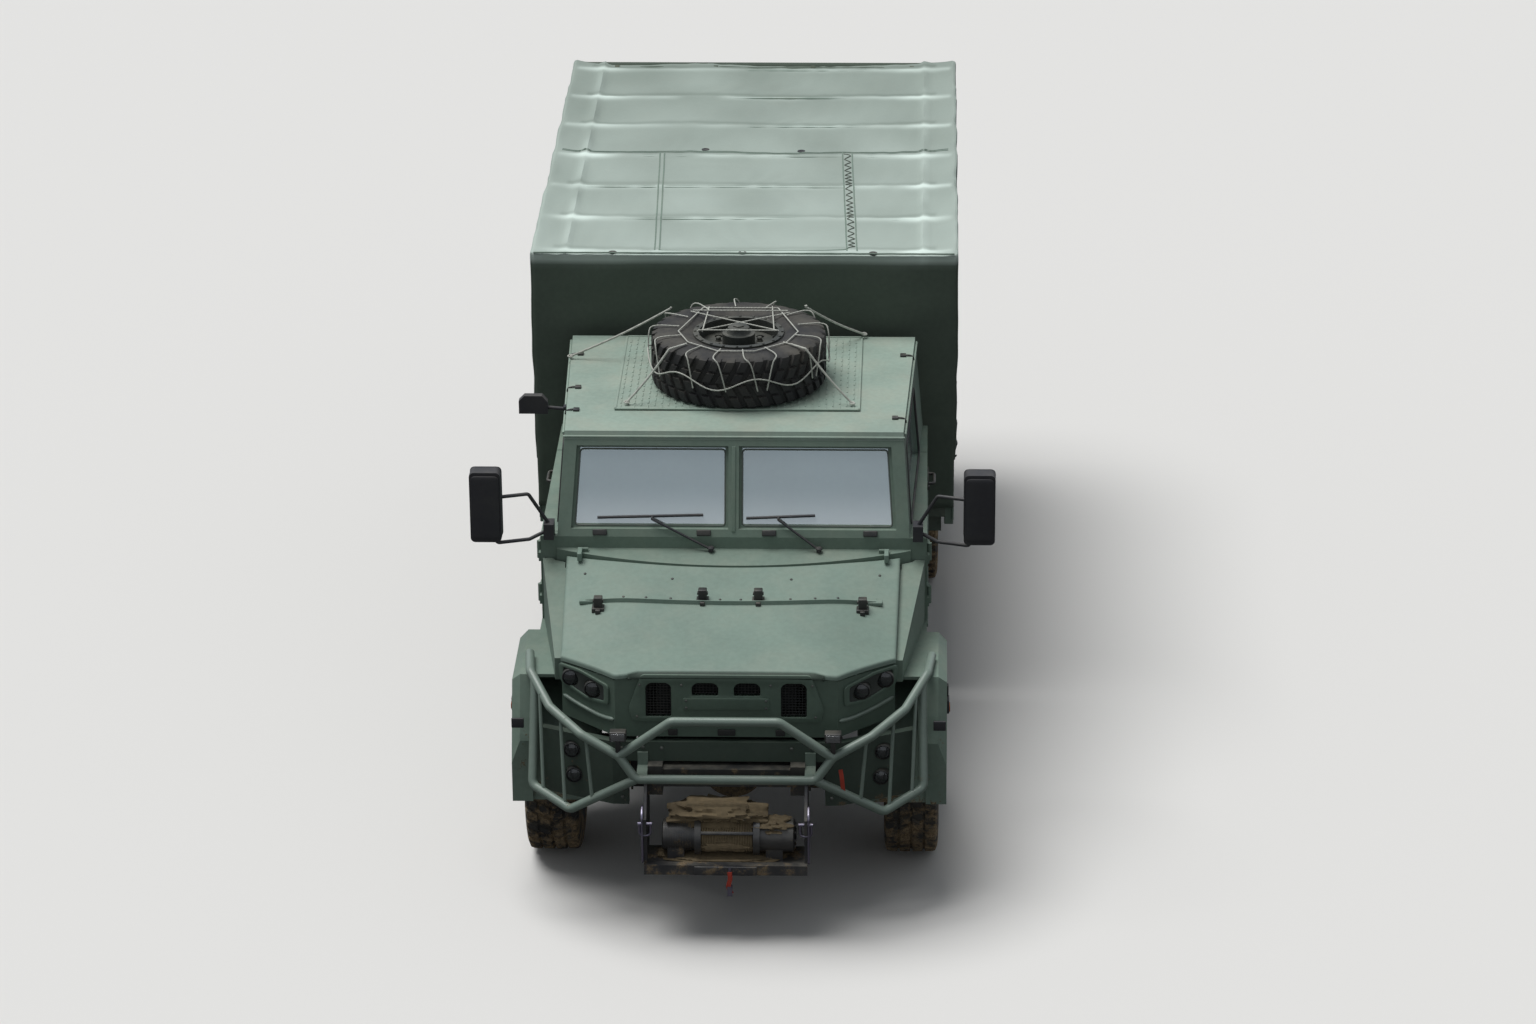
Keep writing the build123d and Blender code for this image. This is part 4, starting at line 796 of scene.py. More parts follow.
def make_roof_trim():
    """Ribbed anti-slip plate, its edge bars, tie hooks at the roof's edges and the rain rail."""
    z = 2.0578
    ribs = []
    for i, x in enumerate(np.arange(-0.575, 0.59, 0.034)):
        for y in np.arange(0.675, 1.63, 0.066):
            at = y + (0.033 if i % 2 else 0.0)
            ribs.append(moved(RIB, (x, at, z)))
    add_piece("roof_tread", ribs, "roof_paint_painted_light", "truck")
    edge = join(*[block((x0, y0, z - 0.002), (x1, y1, z + 0.004), 0.002, 1) for x0, x1, y0, y1 in (
        (-0.605, -0.593, 0.645, 1.675), (0.603, 0.615, 0.645, 1.675), (-0.605, 0.615, 0.643, 0.655),
        (-0.605, 0.615, 1.665, 1.677))])
    add_piece("roof_tread_edges", edge, "roof_paint_painted_light", "truck")
    hooks = []
    for side, places in ((-1, (0.64, 0.95, 1.42)), (1, (0.55, 1.42))):
        for y in places:
            x = side * (half_width(y, 2.05) - 0.004)
            line = [(x - side * 0.045, y + 0.004, 2.056), (x - side * 0.015, y, 2.057),
                    (x + side * 0.006, y, 2.05),
                    (x + side * 0.012, y, 2.018), (x + side * 0.006, y, 2.006)]
            hooks.append(tube(bent(line, 0.01, 4), 0.0045, 8))
            hooks.append(block((x - side * 0.03, y - 0.014, 2.049), (x - side * 0.06, y + 0.022, 2.06), 0.002,
                               1))
    add_piece("roof_hooks", hooks, "black_steel")
    rail = []
    for side in (-1, 1):
        ys = np.linspace(0.4, 1.69, 14)
        x = side * (half_width(ys, 2.008) + 0.0045)
        rail.append(tube(xyz(x, ys, 2.026), 0.006, 8))
    front = [(-0.838, 0.3615, 2.024), (0.838, 0.3615, 2.024)]
    rail.append(tube(even(front, 0.1), 0.006, 8))
    add_piece("roof_rain_rail", rail, "roof_paint_painted_light", "truck")


def half_width(y, z):
    """Half width of the upper cab: 866 mm at the screen's foot, 59 mm more over 1502 mm of length, and
    42 mm less over 490 mm of height."""
    return 0.866 + 59 / 1502 * (y - SCREEN_FOOT) - 42 / 490 * (z - SILL_Z)


def screen_y(z):
    """Where the windscreen's outer face stands at a height."""
    return SCREEN_FOOT + (z - SILL_Z) / SCREEN_RISE * SCREEN_LEAN


RIB = block((-0.004, -0.022, -0.001), (0.004, 0.022, 0.0035), 0.0015, 1)


# ---- Canvas cover


def cover_sag(p, n, sizes):
    """How far the canvas lies inside its outer box. On the roof it rests on the bows and dips between
    them, with a fold line along each side. On the sides and front it pulls in and ripples to the hem."""
    x, y, z = p[..., 0], p[..., 1], p[..., 2]
    top, side, front = np.clip(n[..., 2], 0, 1), np.abs(n[..., 0]), np.clip(-n[..., 1], 0, 1)
    part = np.clip((y - BOWS[0]) / (BOWS[1] - BOWS[0]), -0.3, 6.3)
    inside = part - np.floor(part)
    near = np.minimum(inside, 1 - inside)
    dip = np.sin(np.pi * np.clip(inside, 0, 1)) ** 0.65
    edge = 1 - np.abs(x / COVER["half"]) ** 9
    bow_wave = 1 + 0.22 * waves(x, y * 0.3, 3, 1.4)
    fold = np.exp(-((np.abs(x) - FOLD_X) / 0.02) ** 2)
    roof = 0.01 * edge + sizes.cover_sag * dip * edge * bow_wave * (1 - 0.72 * fold) - 0.003 * fold
    creases = 0.0022 * waves(x * 0.35, y, 11, 0.35) + 0.0012 * waves(x, y * 0.5, 12, 0.16)
    creases = creases + 0.0016 * np.sin(x * 22 + 5 * waves(x, y, 13, 0.9)) * (1 - np.abs(x))
    seam = np.exp(-(near / 0.035) ** 2)
    roof = roof + creases * (1 - seam)
    for middle in (flap_side(y, -1), flap_side(y, 1)):
        roof = roof - 0.0028 * np.exp(-((x - middle) / 0.016) ** 2) * (y < FLAP_Y[1])
    down = np.clip((COVER["top"] - z) / (COVER["top"] - COVER["hem"]), 0, 1.3)
    side_in = 0.01 * np.sin(np.pi * inside) * np.sin(np.pi * np.clip(down, 0, 1)) \
        + 0.004 * (1 + waves(y, z * 0.25, 21, 0.5)) * down ** 1.5 \
        + 0.0035 * (1 + np.sin(2 * np.pi * y / 0.3)) * np.clip(down - 0.55, 0, 1) * 2 \
        + 0.002 * waves(y * 0.7, z, 22, 0.3)
    side_in = side_in + 0.003 * np.abs(waves(y + z, y - z, 23, 0.7)) * (1 - down)
    front_in = 0.004 * np.sin(np.pi * np.clip((x + 1.1) / 2.2, 0, 1)) \
        + 0.003 * (1 + waves(x, z * 0.2, 31, 0.6)) + 0.002 * waves(x * 0.6, z, 32, 0.35)
    return top * roof + side * side_in + front * front_in


def flap_side(y, side):
    """Where the roof flap's side seam runs: from its front corner to its rear one."""
    low, high = ((-0.45, -0.506), (0.556, 0.504))[side > 0]
    return low + (high - low) * (y - FLAP_Y[0]) / (FLAP_Y[1] - FLAP_Y[0])


def roof_at(x, y, sizes, lift=0.0):
    """Points on the canvas roof above given places, lifted a little."""
    p = xyz(x, y, COVER["top"])
    p[..., 2] += lift - cover_sag(p, 0 * p + np.array([0, 0, 1.0]), sizes)
    return p


def bleach_and_painted_light(p):
    """How light the canvas roof is: the whole roof, more along bows and side folds, most where they cross,
    partly bleaching and partly painted highlight; a painted shade line behind each bow.
    """
    x, y = np.abs(p[..., 0]), p[..., 1]
    part = (y - BOWS[0]) / (BOWS[1] - BOWS[0])
    near = np.abs(part - np.round(part)) * (BOWS[1] - BOWS[0])
    broken = np.clip(0.65 + 0.5 * waves(p[..., 0], y, 51, 0.45), 0, 1)
    # Lighter lines along the bow ridges: partly wear, partly painted highlight.
    bow = np.exp(-((near - 0.004) / 0.026) ** 2) * (x < 1.06)
    # A painted shade line just behind each bow.
    behind = (part - np.round(part)) * (BOWS[1] - BOWS[0]) - 0.075
    shade = np.exp(-(behind / 0.034) ** 2) * (x < 1.0)
    fold = np.exp(-((x - FOLD_X) / 0.022) ** 2)
    # Bright spots where the bows cross the side folds: painted highlight.
    spot = np.exp(-((x - FOLD_X + 0.03) / 0.11) ** 2 - (near / 0.036) ** 2)
    rim = np.exp(-((y - COVER["front"] - 0.004) / 0.012) ** 2)
    rim = rim + np.exp(-((x - COVER["half"] + 0.006) / 0.012) ** 2)
    # Only the roof takes the mask, so the sides and front keep the dark base: painted shade.
    top = np.clip((p[..., 2] - COVER["top"] + 0.075) / 0.02, 0, 1)
    even_ = 0.45 - 0.17 * (y - COVER["front"]) / 3.3 + 0.03 * waves(p[..., 0], y, 52, 0.8) - 0.1 * shade
    return np.clip(top * (even_ + 0.24 * bow * broken + 0.16 * fold * broken + 0.4 * spot + 0.08 * rim), 0, 1)


def cover_shape(sizes):
    """One sheet over roof, sides and front: the faces of an open box, rounded at every edge by pulling
    each point to one distance from an inner box, then moved in along that direction by the sag."""
    c, r = COVER, 0.022
    round_ = np.array([0, 0.003, 0.007, 0.013, 0.022])
    xs = np.concatenate([-c["half"] + round_, np.linspace(-1.06, 1.06, 107), c["half"] - round_[::-1]])
    ys = np.concatenate([c["front"] + round_, np.linspace(c["front"] + 0.035, c["rear"], 204)])
    zs = np.concatenate([c["top"] - round_, np.linspace(c["top"] - 0.045, c["hem"], 40)])
    lower = np.concatenate([zs, np.linspace(c["hem"], c["front_hem"], 10)[1:]])
    shapes = []

    def face(points):
        lo = np.array([-c["half"] + r, c["front"] + r, 0.0])
        hi = np.array([c["half"] - r, 9.0, c["top"] - r])
        core = np.clip(points, lo, hi)
        out = points - core
        n = out / np.linalg.norm(out, axis=-1, keepdims=True)
        return core + (r - cover_sag(core + r * n, n, sizes)[..., None]) * n

    x, y = np.meshgrid(xs, ys, indexing="ij")
    shapes.append(sheet_shape(face(xyz(x, y, c["top"]))))
    for side in (-1, 1):
        y, z = np.meshgrid(ys, zs, indexing="ij")
        shape = sheet_shape(face(xyz(side * c["half"], y, z)))
        shapes.append(shape if side > 0 else inside_out(shape))
    x, z = np.meshgrid(xs, lower, indexing="ij")
    shapes.append(inside_out(sheet_shape(face(xyz(x, c["front"], z)))))
    return join(*shapes)


def make_cover(sizes):
    cover = add_piece("canvas_cover", cover_shape(sizes), "canvas", "truck", ["tarpaulin"],
                      closed=False, solid=0.002)
    # The canvas's mask of bleaching and painted light, read by its finish.
    worn = cover.data.attributes.new("worn", "FLOAT", "POINT")
    worn.data.foreach_set("value", bleach_and_painted_light(read_mesh(cover.data) - np.array([0, AXLE_Y, 0])))

    def welt(x, y, width=0.007, across=ACROSS):
        """A stitched double thickness that lies on the roof along a line of places."""
        return strap(roof_at(x, y, sizes, 0.0008), width, 0.003, across)

    ys, xs = np.linspace(FLAP_Y[0], FLAP_Y[1], 140), np.linspace(-1.055, 1.055, 120)
    parts = [welt(flap_side(ys, -1) + d, ys) for d in (-0.012, 0.012)]
    parts += [welt(flap_side(ys, 1) + d, ys) for d in (-0.026, 0.026)]
    parts += [welt(xs, 0 * xs + y, 0.006, ALONG) for y in (3.47, 3.492)]
    bow_ = even([(-0.44, 1.846, 0), (0.47, 1.846, 0)], 0.02)
    corner = bent([(0.47, 1.846, 0), (0.532, 1.846, 0), (0.532, 1.905, 0)], 0.05, 8)[1:]
    front = np.concatenate([bow_, corner])
    parts.append(welt(front[:, 0], front[:, 1] + 0.012 * (front[:, 0] / 0.5) ** 2, 0.008, (0.3, 1, 0)))
    edge = np.linspace(-COVER["half"] + 0.02, COVER["half"] - 0.02, 90)
    wavy = COVER["front"] + (0.004 + 0.0012 * np.sin(edge * 60))
    parts.append(tube(xyz(edge, wavy, COVER["top"] - 0.008), 0.0042, 7))
    add_piece("cover_welts", parts, "canvas_seam", "truck")
    steps = np.arange(1.91, 3.45, 0.036)
    zigzag = flap_side(steps, 1) + 0.019 * np.where(np.arange(len(steps)) % 2, 1, -1)
    line = even(xyz(zigzag, steps, 0), 0.009)
    add_piece("flap_lacing", tube(roof_at(line[:, 0], line[:, 1], sizes, 0.0022), 0.0022, 6), "grey_cord")
    holes = roof_at([-0.677, -0.008, 0.665, -0.273, 0.252], [1.815, 1.82, 1.815, 3.527, 3.527], sizes, 0.0012)
    ring = [(-0.002, 0.01), (0.002, 0.012), (0.003, 0.017), (0.002, 0.021), (-0.002, 0.022)]
    eyes = [revolve(ring, 20, at) for at in holes]
    eyes += [revolve([(0, 0.0115), (0.0008, 0.0115), (0.0008, 0)], 16, at) for at in holes]
    add_piece("cover_grommets", eyes, "black_steel")


def make_curtain():
    """Rear curtain rolled up: a spiral that closes in by one cloth and a gap on every turn."""
    centre, turns = np.array([0, 5.043, 2.412]), 5.5
    t = np.linspace(0, 1, int(turns * 30))
    angle = 2 * np.pi * turns * t + 0.4
    radius = 0.012 + 0.036 * t
    xs = np.linspace(-1.05, 1.05, 60)
    sag = 0.004 * np.cos(xs * 7.5)[:, None]
    r = radius[None] + (0.0012 * waves(xs, 0 * xs, 41, 0.4))[:, None] * t[None] - 0.002
    spiral = xyz(xs[:, None], centre[1] + r * np.cos(angle), centre[2] + r * np.sin(angle) - np.abs(sag))
    end = spiral[:, -1:, :]
    lift = np.concatenate([end + np.array([0, 0.0, 0.012]), end * [1, 0, 0] + [0, 5.085, 2.44],
                           end * [1, 0, 0] + [0, 5.094, 2.466]], 1)
    shape = sheet_shape(np.concatenate([spiral, lift], 1))
    roll = add_piece("rear_curtain_roll", shape, "canvas", "truck", ["tarpaulin"], closed=False,
                     solid=0.0015)
    straps = []
    for x in (-0.85, -0.28, 0.28, 0.85):
        a = np.radians(np.linspace(60, 400, 30))
        loop = xyz(x, centre[1] + 0.0515 * np.cos(a), centre[2] - 0.003 + 0.0515 * np.sin(a))
        straps.append(strap(loop, 0.025, 0.002, ACROSS))
        straps.append(strap([(x, 5.0975, 2.42), (x, 5.0985, 2.36), (x, 5.0975, 2.3)], 0.025, 0.002, ACROSS))
        straps.append(block((x - 0.017, 5.093, 2.372), (x + 0.017, 5.1015, 2.402), 0.002, 1))
    add_piece("curtain_straps", straps, "green_webbing")


def make_lacing(sizes):
    """Rope that laces the cover's hem to hooks on the boards, its eyelets, and the hem's edge bands."""
    r, hem = sizes.lacing, COVER["hem"]
    ropes, eyes, hooks = [], [], []
    for side in (-1, 1):
        x = side * (COVER["half"] + 0.0035)
        line = []
        for y in np.arange(1.95, 4.95, 0.3):
            line += [(x, y, hem + 0.035), (side * 1.0925, y + 0.15, hem - 0.085)]
            eyes.append(moved(EYELET, (x - side * 0.002, y, hem + 0.035), axes_to((side, 0, 0))))
            hook = [(1.0795, 0.03), (1.092, 0.02), (1.096, -0.012), (1.1, -0.02), (1.104, -0.008)]
            hooks.append(tube([(side * a, y + 0.15, hem - 0.085 + c) for a, c in hook], 0.0035, 6))
            hooks.append(block((side * 1.0795, y + 0.136, hem - 0.07), (side * 1.085, y + 0.164, hem - 0.03),
                               0.002, 1))
        ropes.append(tube(bent(line + [(x, 4.95, hem + 0.035)], 0.012, 3), r, 7))
    for x in np.arange(-0.9, 0.91, 0.3):
        eyes.append(moved(EYELET, (x, COVER["front"] - 0.001, COVER["front_hem"] + 0.03),
                          axes_to((0, -1, 0))))
    add_piece("hem_lacing", ropes, "black_cord")
    add_piece("hem_eyelets", eyes, "bolt_steel")
    add_piece("rope_hooks", hooks, "black_steel")


EYELET = revolve([(-0.001, 0.006), (0.002, 0.007), (0.003, 0.01), (0.002, 0.0125), (-0.001, 0.013)], 14)


# ---- Front


def hood_top(x, y):
    """Height of the hood's upper face: three rows across it, with soft knees where it starts to fall."""
    rows = np.array([(-0.81, 1.283, 1.236, 0.76, 0.5), (-0.5, 1.338, 1.262, 0.8, 0.5),
                     (0.2, 1.492, 1.486, 0.83, 0.56)])
    mid, rim, half, knee = (np.interp(y, rows[:, 0], rows[:, i]) for i in (1, 2, 3, 4))
    past = np.abs(x) - knee
    fall = 0.5 * (past + np.sqrt(past ** 2 + 0.0064))
    return mid - (mid - rim) * fall / (half - knee)


def hood_edges(x):
    """Front and rear of the hood at a place across it: the front steps back over the grille."""
    ax = np.abs(x)
    front = np.interp(ax, [0.0, 0.425, 0.475, 0.53, 0.804], [-0.786, -0.786, -0.8065, -0.8065, -0.55])
    radius = (0.82 ** 2 + 0.105 ** 2) / 0.21
    return front, 0.064 + radius - np.sqrt(radius ** 2 - ax ** 2)


def hood_shape():
    """Pressed lid: its top between the front and rear edges, rolled over all round by a quarter circle,
    closed below by the same grid 24 mm lower."""
    fine = np.array([0, 0.0012, 0.004, 0.009, 0.016, 0.03])
    v = np.concatenate([fine, np.linspace(0.05, 0.95, 40), 1 - fine[::-1]])
    u = np.concatenate([-1 + fine, np.linspace(-0.95, 0.95, 90), 1 - fine[::-1]])
    u, v = np.meshgrid(u, v, indexing="ij")
    front, rear = hood_edges(0.804 * u)
    x, y = u * (0.804 + 0.016 * v), front + v * (rear - front)
    inset = np.minimum((1 - np.abs(u)) * 0.8, np.minimum(v, 1 - v) * 0.85)
    r = 0.012
    roll = r - np.sqrt(np.maximum(r ** 2 - np.clip(r - inset, 0, r) ** 2, 0))
    top, low = xyz(x, y, hood_top(x, y) - roll), xyz(x, y, hood_top(x, y) - 0.024)
    rims = [np.concatenate([g[:, 0], g[-1, 1:], g[-2::-1, -1], g[0, -2:0:-1]]) for g in (top, low)]
    wall = sheet_shape(np.stack(rims), wrap_cols=True)
    return join(sheet_shape(top), inside_out(sheet_shape(low)), wall)


def make_hood():
    """Hood lid with its underside ribs and hinge arms, in place of the plain lid."""
    lid = hood_shape()
    arms = []
    for s in (-1, 1):
        arms.append(block((s * 0.741, 0.095, 1.47), (s * 0.763, 0.17, 1.512), 0.004))
        arms.append(revolve([(-0.0115, 0), (-0.0115, 0.008), (0.0115, 0.008), (0.0115, 0)], 16,
                            (s * 0.752, 0.172, 1.505), ACROSS))
    add_piece("hood_skin", join(lid, *arms), "hood_paint_painted_light", "hood_lid", ["hood"])
    ribs = []
    for x in (-0.45, -0.15, 0.15, 0.45):
        ys = np.linspace(-0.7, 0.02, 15)
        ribs.append(strap(xyz(x, ys, hood_top(x, ys) - 0.029), 0.05, 0.014, ACROSS))
    for y in (-0.7, -0.34, 0.0):
        xs = np.linspace(-0.62, 0.62, 31)
        ribs.append(strap(xyz(xs, y, hood_top(xs, y) - 0.028), 0.05, 0.012, ALONG))
    add_piece("hood_ribs", ribs, "green_paint", "hood_lid")


HOOD_BRACKETS = ((0.64, -0.244), (0.135, -0.21))


def make_hood_trim():
    """Ledge strip across the hood, its bolts, four latch blocks and lid bolts."""
    xs = np.linspace(-0.705, 0.705, 57)
    line = -0.24 + 0.048 * (xs / 0.705) ** 2
    rows = []
    for dy, dz in ((0.046, 0.0006), (0.043, 0.006), (0.006, 0.008), (-0.002, 0.02), (-0.006, 0.02),
                   (-0.008, 0.0006)):
        rows.append(xyz(xs, line + dy, hood_top(xs, line + dy) + dz))
    strip = sheet_shape(np.stack(rows))
    count = len(xs)
    ends = [list(range(0, 6 * count, count)), list(range(count - 1, 6 * count, count))[::-1]]
    foot = float(hood_top(0.7, -0.19))
    tabs = [block((s * 0.66, -0.207, foot - 0.004), (s * 0.735, -0.168, foot + 0.014), 0.004)
            for s in (-1, 1)]
    ledge = join((strip[0], strip[1] + ends), *tabs)
    add_piece("hood_ledge", ledge, "hood_paint_painted_light", "hood_lid", closed=False)
    heads = []
    for x in (-0.52, -0.41, -0.29, -0.05, 0.05, 0.29, 0.41, 0.52):
        y = -0.216 + 0.048 * (x / 0.705) ** 2
        heads.append((x, y, float(hood_top(x, y)) + 0.006))
    heads += [(x, y, float(hood_top(x, y)))
              for x, y in ((-0.29, -0.04), (0.29, -0.04), (-0.72, 0.02), (0.72, 0.02))]
    normal = (0, -0.215, 0.977)
    add_piece("hood_bolts", bolts(heads, normal, 0.006, 0.005), "black_steel", "hood_lid")
    latch = []
    for x, y in HOOD_BRACKETS:
        z = float(hood_top(x, y))
        latch.append(block((x - 0.021, y - 0.0205, z - 0.006), (x + 0.021, y + 0.0205, z + 0.0605), 0.005))
        latch.append(block((x - 0.03, y - 0.034, z - 0.014), (x + 0.03, y + 0.03, z + 0.01), 0.003))
        latch.append(block((x - 0.012, y - 0.05, z - 0.018), (x + 0.012, y - 0.018, z + 0.008), 0.004))
        latch.append(revolve([(-0.026, 0), (-0.026, 0.009), (0.026, 0.009), (0.026, 0)], 12,
                             (x, y, z + 0.038), ACROSS))
    add_piece("hood_latches", both(*latch), "black_steel", "hood_lid")


def on_nose(x, z, out=0.0):
    """A point on the slanted side of the nose: x across, z up, out ahead of its face."""
    (x0, y0), (x1, y1) = NOSE_FACE
    n = np.array([y1 - y0, x0 - x1]) / math.hypot(x1 - x0, y1 - y0)
    return (x + n[0] * out, y0 + (y1 - y0) * (x - x0) / (x1 - x0) + n[1] * out, z)


def make_grille():
    """Grille frame with four rounded slots, the bare badge plate, slot mesh and three small ports."""
    slots = [(0.258, 0.386, 1.056, 1.238), (0.034, 0.166, 1.166, 1.238)]
    loops = [rounded([(-0.445, 1.035), (0.445, 1.035), (0.462, 1.1), (0.402, 1.2745), (-0.402, 1.2745),
                      (-0.462, 1.1)],
                     0.018)]
    for x0, x1, z0, z1 in slots:
        for s in (-1, 1):
            loops.append(rounded([(s * x0, z0), (s * x1, z0), (s * x1, z1 - 0.02), (s * (x1 - 0.022), z1),
                                  (s * (x0 + 0.022), z1), (s * x0, z1 - 0.02)], 0.014))
    surround = plate(loops, 0.012, 0.003, (0, GRILLE_Y, 0), LOOKS_FRONT)
    xs = np.concatenate([[-0.466, -0.455], np.linspace(-0.425, 0.425, 60), [0.455, 0.466]])
    back = np.interp(np.abs(xs), [0.0, 0.418, 0.466], [BROW_Y, BROW_Y, -0.806])
    height = hood_top(xs, back) - 0.0045
    rows = [(GRILLE_Y, 1.255), (LIP_Y, 1.262), (LIP_Y, height - 0.022), (GRILLE_Y - 0.0015, height - 0.012),
            (np.maximum(back - 0.004, -0.806), height), (back, height - 0.002), (back, height - 0.03)]
    brow = sheet_shape(np.stack([xyz(xs, y, z) for y, z in rows]))
    badge = plate([rect(-0.205, 0.205, 1.098, 1.158, 0.01)], 0.006, 0.0015, (0, GRILLE_Y - 0.009, 0),
                  LOOKS_FRONT)
    # The frame takes the nose's darker copy of the paint, and the brow the bumper's darker one: painted
    # shade.
    add_piece("grille_frame", join(surround, badge), "nose_paint_painted_shade", "truck")
    add_piece("grille_brow", brow, "bumper_paint_painted_shade", "truck", closed=False, solid=0.003)
    heads = [(s * x, LIP_Y, z) for s in (-1, 1) for x, z in ((0.425, 1.06), (0.41, 1.225), (0.212, 1.225))]
    heads += [(s * 0.19, LIP_Y - 0.006, z) for s in (-1, 1) for z in (1.109, 1.147)]
    add_piece("grille_bolts", bolts(heads, (0, -1, 0), 0.006, 0.005), "bolt_steel")
    bars = []
    for x0, x1, z0, z1 in slots:
        for s in (-1, 1):
            a, b = sorted((s * x0, s * x1))
            z = np.arange(z0 + 0.008, z1 - 0.004, 0.014)
            bars += [tube([(a - 0.01, -0.786, h), (b + 0.01, -0.786, h)], 0.0022, 5) for h in z]
            bars += [tube([(h, -0.784, z0 - 0.01), (h, -0.784, z1 + 0.01)], 0.0022, 5)
                     for h in np.arange(a + 0.008, b, 0.016)]
    add_piece("grille_mesh", bars, "grille_black")
    ports = []
    for x, w in ((-0.256, 0.022), (0.0, 0.042), (0.256, 0.022)):
        ports.append(block((x - w, -0.808, 0.958), (x + w, -0.799, 0.99), 0.003))
    add_piece("nose_ports", ports, "grille_black")


def lamp_unit(centre, axis, radius, depth=0.05):
    """Lamp parts about an axis: rim with its rolled lip, domed lens, and bowl with a bulb."""
    rim = revolve([(-depth, radius * 0.92), (-0.004, radius), (0.004, radius * 1.02), (0.009, radius * 0.98),
                   (0.01, radius * 0.9), (0.004, radius * 0.86), (-0.002, radius * 0.86)], 36, centre, axis)
    dome = [(0.003 + 0.01 * (1 - u ** 2), radius * 0.87 * u) for u in np.linspace(1, 0, 8)]
    lens = revolve(dome, 36, centre, axis)
    bowl = [(-0.001 - 0.035 * (1 - u ** 2), radius * 0.86 * u) for u in np.linspace(1, 0.16, 9)]
    bulb = [(-0.034, 0.16 * radius), (-0.018, 0.17 * radius), (-0.011, 0.11 * radius), (-0.009, 0)]
    return rim, lens, revolve(bowl + bulb, 36, centre, axis)


LAMPS = (
    # x, y, z, radius
    (0.64, -0.699, 1.15, 0.0435),
    (0.752, -0.595, 1.165, 0.0435),
    (0.745, -0.742, 0.85, 0.0395),
    (0.737, -0.747, 0.72, 0.0395),
)


def make_lamps():
    """Four round lamps a side, in place of their plain solids, with their dark surrounds, partly painted
    shade; their lenses and bowls are darkened as painted shade inside the lamps.
    """
    units = [lamp_unit((s * x, y, z), (0, -1, 0), r) for x, y, z, r in LAMPS for s in (-1, 1)]
    rims, lenses, bowls = (list(parts) for parts in zip(*units))
    add_piece("lamp_rims", rims, "black_steel", "truck", ["head_lamps"])
    # Darkened lenses and bowls: painted shade inside the lamps.
    add_piece("lamp_lenses", lenses, "dark_lens_painted_shade", "truck", closed=False, solid=0.002)
    add_piece("lamp_bowls", bowls, "lamp_bowl_painted_shade", "truck", closed=False)
    face = [(0.565, 1.108), (0.66, 1.092), (0.792, 1.128), (0.8, 1.215), (0.7, 1.222), (0.565, 1.2)]
    (x0, y0), (x1, y1) = NOSE_FACE
    slant = math.hypot(x1 - x0, y1 - y0) / (x1 - x0)
    along = np.array([x1 - x0, y1 - y0, 0]) / math.hypot(x1 - x0, y1 - y0)
    turn = np.stack([along, (0, 0, 1), np.cross(along, (0, 0, 1))], 1)
    outer = rounded([((x - x0) * slant, z) for x, z in face], 0.02)
    middle = outer.mean(0)
    wide, high = circle(24, 1.02)
    holes = [np.stack([(x - x0) * slant + 1.25 * r * wide, z + r * high], 1)
             for x, _, z, r in LAMPS[:2]]
    out = np.cross(along, (0, 0, 1))
    surround = moved(plate([outer] + holes, 0.005, 0.001, (x0, y0, 0), turn), 0.003 * out)
    inner = middle + (outer - middle) * 0.9
    edge = plate([middle + (outer - middle) * 1.06, inner], 0.014, 0.003, (x0, y0, 0), turn)
    edge = moved(edge, 0.004 * out)
    # A flat dark plate standing for the lamps' recess: partly housing colour, partly painted shade.
    add_piece("lamp_surrounds", both(surround), "housing_and_painted_shade")
    add_piece("lamp_brows", both(edge), "nose_paint_painted_shade", "truck")
    line = np.array([on_nose(0.535, 1.036, 0.004), on_nose(0.6, 1.03, 0.006), on_nose(0.7, 1.04, 0.006),
                     on_nose(0.79, 1.058, 0.004)])
    lip = tube(curve(line, 8), [0.003] + [0.01] * 23 + [0.003], 10)
    add_piece("nose_lips", both(lip), "guard_paint", "truck")


def make_guard_trim():
    """Small box lamps on the tube crossings, upright bars in the side loops and marker brackets."""
    cases, lenses, bars, marks = [], [], [], []
    cases.append(block((0.47, -0.955, 0.99), (0.55, -0.905, 1.04), 0.006))
    cases.append(block((0.498, -0.945, 0.925), (0.522, -0.925, 0.995), 0.003))
    lenses.append(block((0.477, -0.959, 0.996), (0.543, -0.952, 1.033), 0.003))
    for top, low in (((0.668, -0.866, 0.985), (0.64, -0.905, 0.664)),
                     ((0.795, -0.756, 1.028), (0.775, -0.846, 0.602)),
                     ((0.9, -0.64, 1.098), (0.884, -0.772, 0.64))):
        bars.append(tube(even([top, low], 0.08), 0.009, 8))
    marks.append(block((1.046, -0.385, 0.885), (1.062, -0.315, 0.955), 0.004))
    marks.append(block((1.049, -0.335, 0.935), (1.058, -0.3, 1.01), 0.003))
    marks.append(block((0.985, -0.602, 0.895), (1.045, -0.589, 0.945), 0.004))
    add_piece("guard_lamp_cases", both(*cases), "black_steel")
    add_piece("guard_lamp_lenses", both(*lenses), "lamp_glass")
    add_piece("guard_upright_bars", both(*bars), "guard_paint", "truck")
    add_piece("marker_brackets", both(*marks), "black_plastic")
    amber = block((1.058, -0.378, 0.892), (1.066, -0.322, 0.92), 0.003)
    add_piece("side_markers", both(amber), "amber_lens")
    heads = [(s * x, -0.8225, z) for s in (-1, 1)
             for x, z in ((0.5, 0.64), (0.5, 0.9), (0.4, 0.905), (0.31, 0.9))]
    add_piece("bumper_bolts", bolts(heads, (0, -1, 0), 0.008, 0.007), "bolt_steel")


